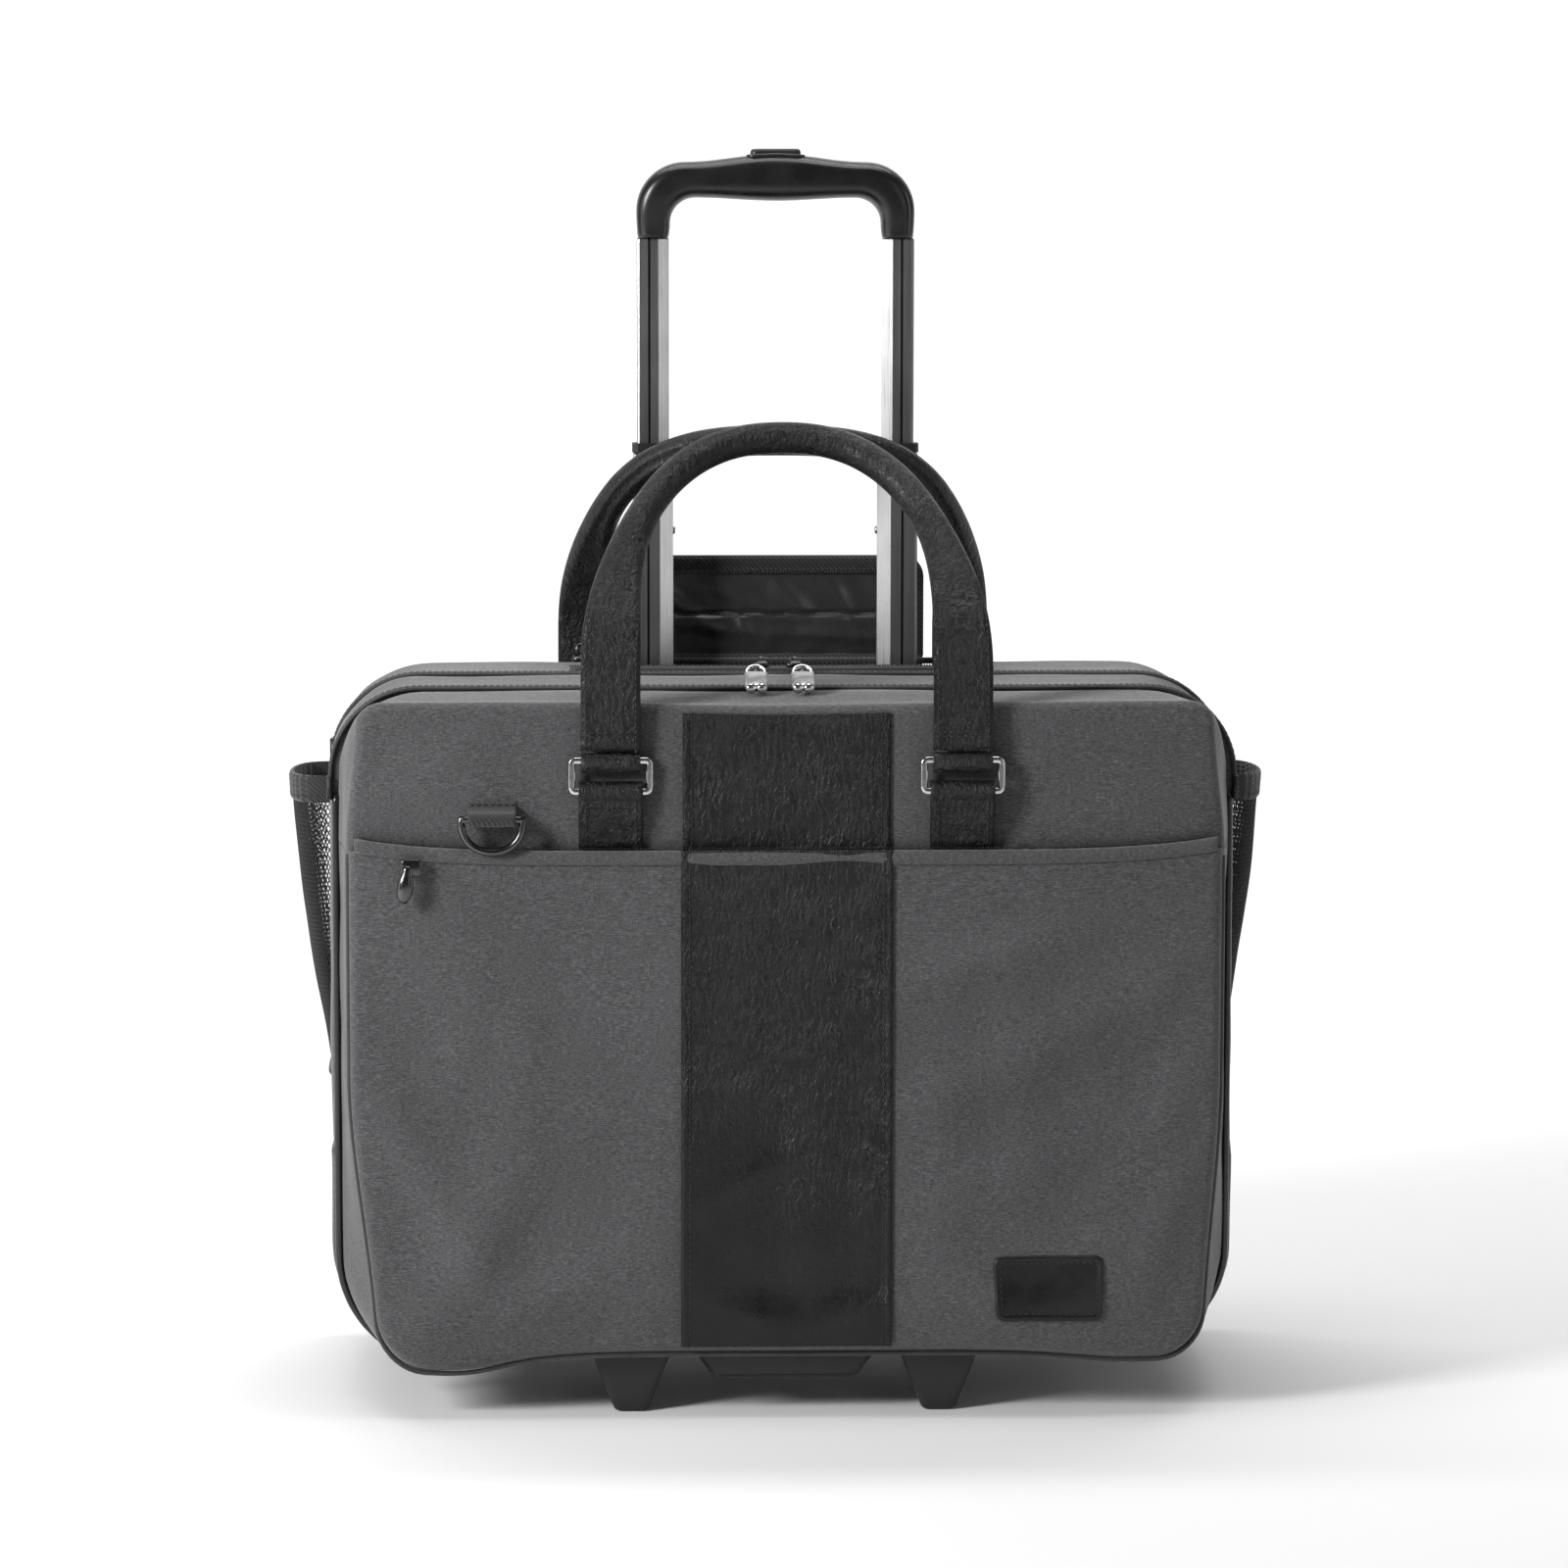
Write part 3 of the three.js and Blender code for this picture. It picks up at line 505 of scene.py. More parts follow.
def repeat_tree():
    tree = new_tree("set_out_along_line", Pitch="Float", Size="Vector", Finish="Material")
    new = tree.nodes.new
    given, result = new("NodeGroupInput"), new("NodeGroupOutput")
    curve = new("GeometryNodeMeshToCurve")
    even = new("GeometryNodeResampleCurve")
    even.mode = "LENGTH"
    ball = new("GeometryNodeMeshUVSphere")
    ball.inputs["Segments"].default_value = 6
    ball.inputs["Rings"].default_value = 4
    ball.inputs["Radius"].default_value = 0.5
    stretch = new("GeometryNodeTransform")
    tangent = new("GeometryNodeInputTangent")
    across = new("GeometryNodeInputNamedAttribute")
    across.data_type = "FLOAT_VECTOR"
    across.inputs["Name"].default_value = "across"
    along_x = new("FunctionNodeAlignRotationToVector")
    across_y = new("FunctionNodeAlignRotationToVector")
    along_x.axis = "X"
    across_y.axis = "Y"
    across_y.pivot_axis = "X"
    place = new("GeometryNodeInstanceOnPoints")
    real = new("GeometryNodeRealizeInstances")
    paint = new("GeometryNodeSetMaterial")
    shade = new("GeometryNodeSetShadeSmooth")
    wire(tree,
         (given, "Geometry", curve, "Mesh"), (curve, "Curve", even, "Curve"),
         (given, "Pitch", even, "Length"),
         (ball, "Mesh", stretch, "Geometry"), (given, "Size", stretch, "Scale"),
         (tangent, "Tangent", along_x, "Vector"), (along_x, "Rotation", across_y, "Rotation"),
         (across, "Attribute", across_y, "Vector"), (even, "Curve", place, "Points"),
         (stretch, "Geometry", place, "Instance"), (across_y, "Rotation", place, "Rotation"),
         (place, "Instances", real, "Geometry"), (real, "Geometry", shade, "Geometry"),
         (shade, "Geometry", paint, "Geometry"), (given, "Finish", paint, "Material"),
         (paint, "Geometry", result, "Geometry"))
    return tree


REPEAT = repeat_tree()


def set_out(name, lines, pitch, size, finish):
    """Copies of one small shape along each line: a list of (point, across) pairs."""
    obj = chains(name, [[p for p, _ in line] for line in lines])
    attribute = obj.data.attributes.new("across", "FLOAT_VECTOR", "POINT")
    for item, value in zip(attribute.data, (across for line in lines for _, across in line)):
        item.vector = value
    return grow(obj, REPEAT, Pitch=pitch, Size=size, Finish=finish)


def stitches(name, lines):
    return set_out(name, lines, 3.2 * MM, (2.5 * MM, 0.75 * MM, 0.6 * MM), THREAD)


def zip_coil(name, line):
    return set_out(name, [line], 1.35 * MM, (0.85 * MM, 3.6 * MM, 1.5 * MM), COIL)


# %% [markdown]
# ## The bag's panels
# A bag panel is not a flat plate. It is tight along its seams and slack between them, so it
# swells a little, and it creases where a corner pulls. Each shell here is one loft whose
# rings follow the sewn outline. A relief function then moves every point: a slow swell,
# fine noise, and a list of soft creases, each a line with a height and a width. Cloth
# simulation could do the swell too, and it is used below where the slack is greatest.
# %% Shell builder
def crease(x, z, lines):
    """Height of soft ridges at a point: each line is (x0, z0, x1, z1, height, width)."""
    total = 0.0
    for x0, z0, x1, z1, height, width in lines:
        dx, dz = x1 - x0, z1 - z0
        t = ((x - x0) * dx + (z - z0) * dz) / (dx * dx + dz * dz)
        t_in = min(max(t, 0.0), 1.0)
        d = math.hypot(x - x0 - dx * t_in, z - z0 - dz * t_in)
        taper = math.sin(math.pi * (0.12 + 0.76 * t_in))
        total += height * taper * math.exp(-(d / width) ** 2)
    return total


def smooth(t):
    t = min(max(t, 0.0), 1.0)
    return t * t * (3 - 2 * t)


def ripple(p, scale, seed):
    return noise.noise(Vector((p[0] * scale + seed, p[1] * scale, p[2] * scale)))


def edge_stations(y, shape, radius, way, steps=5):
    """Outlines that turn a corner of that radius, from the face round to the side."""
    half, z0, z1, r0, r1 = shape
    out = []
    for i in range(steps + 1):
        t = (i / steps) * math.pi / 2
        inset = radius * (1 - math.sin(t))
        back = radius * (1 - math.cos(t))
        out.append((y + way * back, half - inset, z0 + inset, z1 - inset,
                    max(r0 - inset, 2 * MM), max(r1 - inset, 2 * MM)))
    return out


def soft_shell(name, stations, relief, materials, wall, face=None, count=320, rings=36):
    """A shell of cloth. face is "first" or "last" where that end is closed by a panel."""
    loops = [[Vector((x, s[0], z)) for x, z in rounded(*s[1:], count)] for s in stations]
    if face:
        end = loops[0] if face == "first" else loops[-1]
        centre = sum(end, Vector()) / count
        inner = [[centre + (p - centre) * (k / rings) for p in end] for k in range(1, rings)]
        loops = inner + loops if face == "first" else loops + inner[::-1]
    verts = [p for loop in loops for p in loop]
    faces = loft_faces(len(loops), count)
    if face:
        hub = 0 if face == "first" else len(verts) - count
        verts.append(centre)
        tip = len(verts) - 1
        faces += [(hub + k, hub + (k + 1) % count, tip) for k in range(count)]
    verts = [p + relief(p) for p in verts]
    obj = outward(mesh_object(name, verts, faces, materials))
    with edited(obj) as bm:
        probe = max(bm.faces, key=lambda q: q.calc_center_median().x)
        if probe.normal.x < 0:
            bmesh.ops.reverse_faces(bm, faces=bm.faces)
    add_modifier(obj, "SOLIDIFY", thickness=wall, offset=-1.0, material_offset=1,
                 material_offset_rim=0)
    return obj


def between(a, b, steps):
    return [tuple(u + (v - u) * i / steps for u, v in zip(a, b)) for i in range(steps + 1)]


def cut_faces(obj, test, planes=()):
    """Cut along planes of (point, normal), then remove the faces whose centre passes the test."""
    with edited(obj) as bm:
        for point, normal in planes:
            everything = bm.verts[:] + bm.edges[:] + bm.faces[:]
            bmesh.ops.bisect_plane(bm, geom=everything, plane_co=point, plane_no=normal)
        doomed = [f for f in bm.faces if test(f.calc_center_median())]
        bmesh.ops.delete(bm, geom=doomed, context="FACES")


# %% [markdown]
# ### Loose panels
# The slack is settled first, on a plain grid the size of each panel. The cloth on it is a
# little too large for its frame and all its edges are held. It sinks under its own weight
# while a light push keeps it off the bag. The result is smoothed and kept as a height map
# in memory, so the pocket and everything sewn to it can read the same folds.
# %% Slack panels
def slack_panel(name, half, z0, z1, slack, push, seed, limit):
    """How far a loose panel stands out from its frame, as a function of x and z."""
    nx, nz = 84, round(84 * (z1 - z0) / (2 * half))
    start = [Vector((half * (2 * i / nx - 1), 0, z0 + (z1 - z0) * j / nz))
             for j in range(nz + 1) for i in range(nx + 1)]
    row = nx + 1
    rough = [p - Vector((0, 0.8 * MM * noise.noise(Vector((p.x * 18, seed, p.z * 18))), 0))
             for p in start]
    panel = mesh_object(name, rough, grid_faces(nx, nz), [CLOTH])
    held = [j * row + i for j in range(nz + 1) for i in range(nx + 1)
            if i in (0, nx) or j in (0, nz)]
    group = panel.vertex_groups.new(name="held")
    group.add(held, 1.0, "REPLACE")
    cloth = panel.modifiers.new("cloth", "CLOTH")
    cloth.settings.vertex_group_mass = "held"
    cloth.settings.quality = 5
    cloth.settings.mass = 0.2
    cloth.settings.bending_stiffness = 0.4
    cloth.settings.shrink_min = -slack
    cloth.settings.use_pressure = True
    cloth.settings.uniform_pressure_force = push
    cloth.collision_settings.use_collision = False
    for number in range(1, 21):
        bpy.context.scene.frame_set(number)
    baked(panel)
    height = [max(min(-v.co.y, limit), -0.3 * limit) for v in panel.data.vertices]
    for _ in range(5):
        height = [(height[max(k - 1, 0)] + height[min(k + 1, len(height) - 1)]
                   + height[max(k - row, 0)] + height[min(k + row, len(height) - 1)]
                   + height[k]) / 5 for k in range(len(height))]
    bpy.context.scene.frame_set(1)
    bpy.data.objects.remove(panel)
    print(name, "stands out by", round(max(height) / MM, 2), "mm")

    def read(x, z):
        u = min(max((x / half + 1) / 2, 0.0), 0.9999) * nx
        w = min(max((z - z0) / (z1 - z0), 0.0), 0.9999) * nz
        i, j = int(u), int(w)
        f, g = u - i, w - j
        k = j * (nx + 1) + i
        low_row = height[k] * (1 - f) + height[k + 1] * f
        high_row = height[k + nx + 1] * (1 - f) + height[k + nx + 2] * f
        return low_row * (1 - g) + high_row * g
    return read


POCKET_SLACK = slack_panel("pocket_slack", POCKET_HALF, BASE_Z, SPLIT_Z + 2 * MM, 0.025, 0.6, 1.7,
                           8 * MM)
TOP_SLACK = slack_panel("top_slack", FACE_HALF, SPLIT_Z, TOP_Z - 6 * MM, 0.010, 0.4, 4.4, 3 * MM)
REAR_SLACK = slack_panel("rear_slack", BODY_HALF - 12 * MM, BASE_Z + 12 * MM, TOP_Z - 12 * MM,
                         0.010, 0.5, 7.1, 4 * MM)

# %% [markdown]
# ### Front compartment
# The front compartment is boxy: its face meets the sides in a crease, and the sides flare
# back to the zip. It is one sewn shell, but its upper part must swing forwards when the
# compartment is opened, so the same loft is cut at the slip pocket's mouth, where the
# pocket's edge hides the cut.
# %% Front compartment shells
FRONT_SHAPE = (FACE_HALF, BASE_Z, TOP_Z, 22 * MM, 12 * MM)
SEAM_SHAPE = (SEAM_HALF, BASE_Z, TOP_Z, 45 * MM, 42 * MM)
WALL = 4 * MM

TOP_CREASES = [
    (-0.190, 0.345, -0.120, 0.300, 1.8 * MM, 12 * MM),
    (-0.198, 0.300, -0.150, 0.335, 1.5 * MM, 9 * MM),
    (0.120, 0.345, 0.195, 0.300, 2.0 * MM, 12 * MM),
    (0.110, 0.292, 0.200, 0.310, 1.4 * MM, 9 * MM),
    (-0.060, 0.350, -0.055, 0.290, 0.8 * MM, 6 * MM),
    (0.060, 0.350, 0.057, 0.290, 0.8 * MM, 6 * MM),
]


def sag(x, z):
    """The bottom corners of the front droop below its middle."""
    left = 9 * MM * math.exp(-((x + 0.178) / 0.05) ** 2)
    right = 4 * MM * math.exp(-((x - 0.178) / 0.05) ** 2)
    return (left + right) * smooth((0.13 - z) / 0.10)


def flare(p):
    """The face is as wide as the slip pocket below its mouth and narrower at the top."""
    depth = smooth((SEAM_Y - p.y) / (SEAM_Y - FRONT_Y))
    drop = smooth((TOP_Z - 10 * MM - p.z) / (TOP_Z - 10 * MM - SPLIT_Z))
    edge = smooth((abs(p.x) - 0.15) / 0.04)
    return math.copysign((POCKET_HALF + 1.5 * MM - FACE_HALF) * depth * drop * edge, p.x)


def narrowing(p):
    """The pocket's lower corners pull inwards, more on the left than on the right."""
    amount = 13 * MM if p.x < 0 else 8 * MM
    edge = smooth((abs(p.x) - 0.12) / 0.06)
    return -math.copysign(amount * smooth((0.17 - p.z) / 0.14) * edge, p.x)


def top_droop(p):
    """The top slopes from the zip down to the face, most in the middle."""
    depth = smooth((SEAM_Y - p.y) / (SEAM_Y - FRONT_Y))
    reach = smooth((p.z - TOP_Z + 32 * MM) / (32 * MM))
    return -5 * MM * depth * reach * (0.6 + 0.4 * math.exp(-(p.x / 0.06) ** 2))


def front_relief(p):
    on_face = smooth((FRONT_Y + 12 * MM - p.y) / (12 * MM))
    swell = 1.5 * MM * ripple(p, 9, 3.1) + 0.5 * MM * ripple(p, 30, 7.7)
    lift = crease(p.x, p.z, TOP_CREASES) * on_face
    side = (1 - on_face) * 2.2 * MM * ripple(p, 16, 5.5) * (abs(p.x) > FACE_HALF - 5 * MM)
    droop = sag(p.x, p.z)
    top = (1 - on_face) * (p.z > TOP_Z - 8 * MM) * (-1.2 * MM + 1.2 * MM * ripple(p, 14, 2.0))
    depth = smooth((SEAM_Y - p.y) / (SEAM_Y - FRONT_Y))
    across = math.copysign(side, p.x) + flare(p) + narrowing(p) * depth
    lift += TOP_SLACK(p.x, p.z) * (p.z > SPLIT_Z)
    return Vector((across, -(swell * 0.5 + lift) * on_face, top - droop + top_droop(p)))


def front_stations():
    turn = edge_stations(FRONT_Y, FRONT_SHAPE, 5 * MM, 1)
    last = turn[-1]
    back = (SEAM_Y - 0.6 * MM, *SEAM_SHAPE)
    return turn + between(last, back, 8)[1:]


lower_front = soft_shell("organiser_lower", front_stations(), front_relief,
                         [CLOTH, LINING], WALL, "first")
LEVEL = Vector((0, 0, 1))
cut_faces(lower_front, lambda c: c.z > SPLIT_Z, [(Vector((0, 0, SPLIT_Z)), LEVEL)])
carry(lower_front, "front_section", "melange_fabric", "organiser_shell")

upper_front = soft_shell("front_top_cloth", front_stations(), front_relief,
                         [CLOTH, LINING], WALL, "first")
upper_foot = SPLIT_Z - 1 * MM
cut_faces(upper_front, lambda c: c.z < upper_foot, [(Vector((0, 0, upper_foot)), LEVEL)])
carry(upper_front, "front_top", "melange_fabric", "front_top_panel")
print("front shells", len(lower_front.data.vertices), len(upper_front.data.vertices))

# %% [markdown]
# ### Slip pocket
# The large slip pocket covers the lower three quarters of the face. Only its bottom and
# sides are sewn down, so the cloth hangs slack and folds run out from the corners. The
# settled panel above gives the slack. The creases listed here are the long ones that a real
# pocket keeps from being folded.
# %% Slip pocket
POCKET_SHAPE = (POCKET_HALF, low("front_pocket_panel").z, high("front_pocket_panel").z + 42 * MM,
                22 * MM, 12 * MM)
POCKET_CREASES = [
    (-0.205, 0.268, -0.135, 0.238, 2.2 * MM, 13 * MM),
    (-0.200, 0.245, -0.110, 0.185, 1.5 * MM, 16 * MM),
    (-0.190, 0.048, -0.125, 0.125, 3.0 * MM, 20 * MM),
    (-0.168, 0.040, -0.070, 0.085, 1.8 * MM, 15 * MM),
    (-0.150, 0.170, -0.060, 0.140, 1.2 * MM, 16 * MM),
    (0.055, 0.212, 0.190, 0.262, 2.0 * MM, 12 * MM),
    (0.058, 0.150, 0.200, 0.222, 2.2 * MM, 15 * MM),
    (0.070, 0.100, 0.195, 0.160, 1.4 * MM, 16 * MM),
    (0.180, 0.060, 0.205, 0.130, 2.0 * MM, 12 * MM),
    (0.060, 0.060, 0.120, 0.045, 1.2 * MM, 14 * MM),
]


def pocket_relief(p):
    on_face = smooth((POCKET_Y + 6 * MM - p.y) / (6 * MM))
    rim = min((POCKET_HALF - abs(p.x)) / 0.03, (p.z - BASE_Z) / 0.03, 1.0)
    slack = smooth(rim)
    swell = 0.8 * MM + 0.45 * MM * ripple(p, 26, 4.2)
    lift = crease(p.x, p.z, POCKET_CREASES) * 2.2 + POCKET_SLACK(p.x, p.z)
    taut = 1 - 0.8 * smooth((p.z - 0.225) / 0.03)
    out = (swell * slack + lift * (0.3 + 0.7 * slack)) * taut
    rise = 7 * MM * (p.x / POCKET_HALF) ** 6 * smooth((p.z - 0.2) / 0.08)
    return Vector((narrowing(p), -out * on_face, rise - sag(p.x, p.z)))


pocket = soft_shell(
    "slip_pocket_cloth",
    edge_stations(POCKET_Y + 1.5 * MM, POCKET_SHAPE, 5.5 * MM, 1) + [
        (FRONT_Y - 0.2 * MM, *POCKET_SHAPE)],
    pocket_relief, [CLOTH, LINING], 1.6 * MM, "first", count=360, rings=44)
cut_faces(pocket, lambda c: c.z > SPLIT_Z, [(Vector((0, 0, SPLIT_Z)), LEVEL)])
carry(pocket, "front_section", "melange_fabric", "front_pocket_panel")


def pocket_surface(x, z):
    """Place on the pocket's face, for trim that lies on it."""
    p = Vector((x, POCKET_Y + 1.5 * MM, z))
    return p + pocket_relief(p)


def upper_surface(x, z):
    p = Vector((x, FRONT_Y, z))
    return p + front_relief(p)


# %% [markdown]
# ### Main section and rear section
# Behind the front compartment the bag is a deep band between two zips, then the rear
# section with the laptop bay and the trolley bay. Both bands bulge between their seams.
# A seam runs round the sides low down, where a second layer of cloth starts.
# %% Main and rear shells
SIDE_SEAM_Z = 0.125


def band_relief(y0, y1, amount, seed):
    def relief(p):
        t = (p.y - y0) / (y1 - y0)
        arch = max(math.sin(math.pi * min(max(t, 0.0), 1.0)), 0.0)
        edge = max(abs(p.x) / BODY_HALF, 0.0)
        on_side = smooth((edge - 0.90) / 0.07)
        on_top = smooth((p.z - TOP_Z + 14 * MM) / (10 * MM))
        out = amount * arch * (0.6 + 0.8 * ripple(p, 9, seed)) + 0.6 * MM * ripple(p, 30, seed)
        layer = 1.3 * MM * smooth((SIDE_SEAM_Z - p.z) / (2 * MM)) * arch ** 0.3
        groove = -1.2 * MM * math.exp(-((p.z - SIDE_SEAM_Z) / (1.6 * MM)) ** 2)
        x = math.copysign((out + layer + groove) * on_side, p.x)
        z = on_top * (-1.5 * MM * arch + 1.0 * MM * ripple(p, 18, seed + 4))
        return Vector((x, 0, z - sag(p.x, p.z) * 0.5))
    return relief


MAIN_FRONT = (BODY_HALF - 3 * MM, BASE_Z, TOP_Z - 0.5 * MM, 45 * MM, 43 * MM)
MAIN_BACK = (BODY_HALF - 1 * MM, BASE_Z, TOP_Z - 0.5 * MM, 42 * MM, 44 * MM)
main_stations = (edge_stations(SEAM_Y + 0.4 * MM, MAIN_FRONT, 2.5 * MM, 1, 3)
                 + between((SEAM_Y + 3 * MM, *MAIN_FRONT),
                           (ZIP_Y - 0.6 * MM, *MAIN_BACK), 14)[1:])
main_cloth = soft_shell("main_section_cloth", main_stations,
                        band_relief(SEAM_Y, ZIP_Y, 2.6 * MM, 2.2), [CLOTH, LINING], WALL,
                        "first", rings=20)
carry(main_cloth, "front_section", "melange_fabric", "middle_shell")

REAR_FRONT = (BODY_HALF - 1 * MM, BASE_Z, TOP_Z - 0.5 * MM, 38 * MM, 45 * MM)
rear_turn = edge_stations(REAR_Y - 1 * MM, REAR_FRONT, 9 * MM, -1)
rear_stations = between((ZIP_Y + 0.4 * MM, *REAR_FRONT), rear_turn[-1], 20)[:-1] + rear_turn[::-1]
MOUTH_HALF = 85 * MM
BAY_Y = (high("handle_bezel").y + low("handle_bezel").y) / 2
MOUTH_FRONT = BAY_Y - 24 * MM
MOUTH_BACK = low("handle_flap").y - 0.5 * MM


def rear_relief(p):
    base = band_relief(ZIP_Y, REAR_Y, 1.8 * MM, 8.8)(p)
    on_back = smooth((p.y - REAR_Y + 8 * MM) / (6 * MM))
    swell = 1.2 * MM * ripple(p, 9, 6.1) + 0.5 * MM * ripple(p, 28, 9.9)
    seam = -1.3 * MM * math.exp(-((p.z - SIDE_SEAM_Z) / (1.6 * MM)) ** 2)
    loose = REAR_SLACK(p.x, p.z) - 1.5 * MM
    return base + Vector((0, -0.8 * MM + swell * 0.6 + seam + loose, 0)) * on_back


rear_cloth = soft_shell("rear_section_cloth", rear_stations, rear_relief,
                        [CLOTH, LINING], WALL, "last", rings=30)
SIDEWAYS, REARWARD = Vector((1, 0, 0)), Vector((0, 1, 0))
cut_faces(rear_cloth, lambda c: abs(c.x) < MOUTH_HALF and MOUTH_FRONT < c.y < MOUTH_BACK
          and c.z > TOP_Z - 20 * MM,
          [(Vector((MOUTH_HALF, 0, 0)), SIDEWAYS), (Vector((-MOUTH_HALF, 0, 0)), SIDEWAYS),
           (Vector((0, MOUTH_FRONT, 0)), REARWARD), (Vector((0, MOUTH_BACK, 0)), REARWARD)])
HOUSING_RISE = 9 * MM
for side, s in SIDES:
    a, b = low(f"wheel_housing_{side}"), high(f"wheel_housing_{side}")
    a, b = a + Vector((1 * MM, 1 * MM, 0)), b - Vector((1 * MM, 0, HOUSING_RISE))
    cut_faces(rear_cloth, lambda c, a=a, b=b: a.x < c.x < b.x and c.y > a.y and c.z < b.z,
              [(a, SIDEWAYS), (b, SIDEWAYS), (a, REARWARD), (b, LEVEL)])
carry(rear_cloth, "rear_section", "melange_fabric", "rear_shell")
print("rear shell", len(rear_cloth.data.vertices), "points")

# %% [markdown]
# The laptop bay is closed at the back by a padded wall, and a padded divider stands in front
# of the laptop. Pads are crowned: thick in the middle and pulled in at the stitched edge.
# %% Pads
def round_off(x, z, half, tall, r):
    """Moves a point of a rectangle inwards so that the rectangle's corners become arcs."""
    dx, dz = (abs(x) - half + r) / r, (abs(z) - tall + r) / r
    if dx <= 0 or dz <= 0:
        return x, z
    u, v = dx * (1 - dz * dz / 2) ** 0.5, dz * (1 - dx * dx / 2) ** 0.5
    return math.copysign(half - r + u * r, x), math.copysign(tall - r + v * r, z)


def pad(name, x_half, y, z0, z1, thick, corner, quilt, nodes=()):
    nx, nz = 60, 44
    tall = (z1 - z0) / 2
    verts = []
    for way in (-1, 1):
        for j in range(nz + 1):
            for i in range(nx + 1):
                u, v = 2 * i / nx - 1, 2 * j / nz - 1
                crown = ((1 - u ** 8) * (1 - v ** 8)) ** 0.5
                dent = quilt * abs(math.sin(3.5 * math.pi * u) * math.sin(2.5 * math.pi * v))
                x, z = round_off(u * x_half, v * tall, x_half, tall, corner)
                swell = thick / 2 * (0.25 + 0.75 * crown - dent)
                verts.append(Vector((x, y + way * swell, (z0 + z1) / 2 + z)))
    row = nx + 1
    size = row * (nz + 1)
    faces = grid_faces(nx, nz) + [quad[::-1] for quad in grid_faces(nx, nz, size)]
    rim = ([i for i in range(nx)] + [nx + j * row for j in range(nz)]
           + [nz * row + i for i in range(nx, 0, -1)] + [j * row for j in range(nz, 0, -1)])
    for k, a in enumerate(rim):
        b = rim[(k + 1) % len(rim)]
        faces.append((a, a + size, b + size, b))
    obj = outward(mesh_object(name, verts, faces, [PADDING]))
    carry(obj, "rear_section", "lining", *nodes)


divider = (low("laptop_divider"), high("laptop_divider"))
pad("laptop_divider_pad", divider[1].x, middle("laptop_divider").y, divider[0].z, divider[1].z,
    5 * MM, 12 * MM, 0.12, ("laptop_divider",))
pad("laptop_bay_pad", BODY_HALF - 12 * MM, ZIP_Y + 37.5 * MM, BASE_Z + 12 * MM,
    TOP_Z - 7 * MM, 4 * MM, 42 * MM, 0.1)

# %% [markdown]
# Where the zip of the laptop bay ends, a gusset of lining joins the two halves, so no gap
# shows. It is a plain mesh fixed to neither body.
# %% Gusset
def gusset():
    depth = 11 * MM
    inset = WALL + 2.5 * MM
    shape = (BODY_HALF - inset, BASE_Z + inset, TOP_Z + 60 * MM, 38 * MM, 40 * MM)
    ring = [(x, z) for x, z in rounded(*shape, 240) if z < TOP_Z - 44 * MM]
    start = max(range(len(ring)), key=lambda i: (ring[i][0] < 0) * ring[i][1])
    ring = ring[start:] + ring[:start]
    steps = 12
    verts = []
    for x, z in ring:
        for k in range(steps + 1):
            t = k / steps
            fold = 3 * MM * math.sin(math.pi * t)
            verts.append(Vector((x - math.copysign(fold, x) * (abs(x) > 0.19),
                                 ZIP_Y - depth + 2 * depth * t, z)))
    faces = grid_faces(steps, len(ring) - 1)
    obj = mesh_object("laptop_bay_gusset", verts, faces, [LINING])
    add_modifier(obj, "SOLIDIFY", thickness=0.8 * MM, offset=0.0)
    baked(obj)
    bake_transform(obj)


gusset()

# %% [markdown]
# ## Leather trim on the front
# The broad leather panel down the middle is one hide, cut where the pocket's mouth crosses
# it. Its long edges are turned under and stitched, which raises a rounded bead along each
# side. It is a grid laid on the cloth, with the bead as a relief near its edges.
# %% Leather panels
def laid_sheet(name, x_range, z_range, surface, lift, thick, count, materials, relief):
    """A grid over a surface that faces the front, with its own thickness."""
    nx, nz = count
    (x0, x1), (z0, z1) = x_range, z_range
    verts = []
    for j in range(nz + 1):
        for i in range(nx + 1):
            x, z = x0 + (x1 - x0) * i / nx, z0 + (z1 - z0) * j / nz
            verts.append(surface(x, z) - Vector((0, lift + relief(x, z), 0)))
    obj = mesh_object(name, verts, grid_faces(nx, nz), materials)
    add_modifier(obj, "SOLIDIFY", thickness=thick, offset=-1.0)
    return baked(obj)


def beads(x, x0, x1):
    """The rounded bead that a turned edge raises along each side."""
    height, width, inset = 0.9 * MM, 1.5 * MM, 1.7 * MM
    near = min(x - x0, x1 - x)
    return height * math.exp(-((near - inset) / width) ** 2)


def leather_relief(x0, x1, folds):
    def relief(x, z):
        soft = 0.7 * MM * ripple((x, 0, z), 22, 1.9) + crease(x, z, folds)
        return beads(x, x0, x1) + soft * smooth(min(x - x0, x1 - x) / (8 * MM))
    return relief


HIDE_FOLDS = [(-0.045, 0.262, 0.030, 0.235, 0.7 * MM, 4 * MM),
              (-0.040, 0.150, 0.045, 0.205, 0.8 * MM, 6 * MM),
              (-0.030, 0.190, 0.046, 0.170, 0.5 * MM, 4 * MM),
              (-0.045, 0.105, 0.010, 0.135, 0.6 * MM, 6 * MM),
              (-0.030, 0.330, 0.040, 0.305, 0.5 * MM, 4 * MM)]

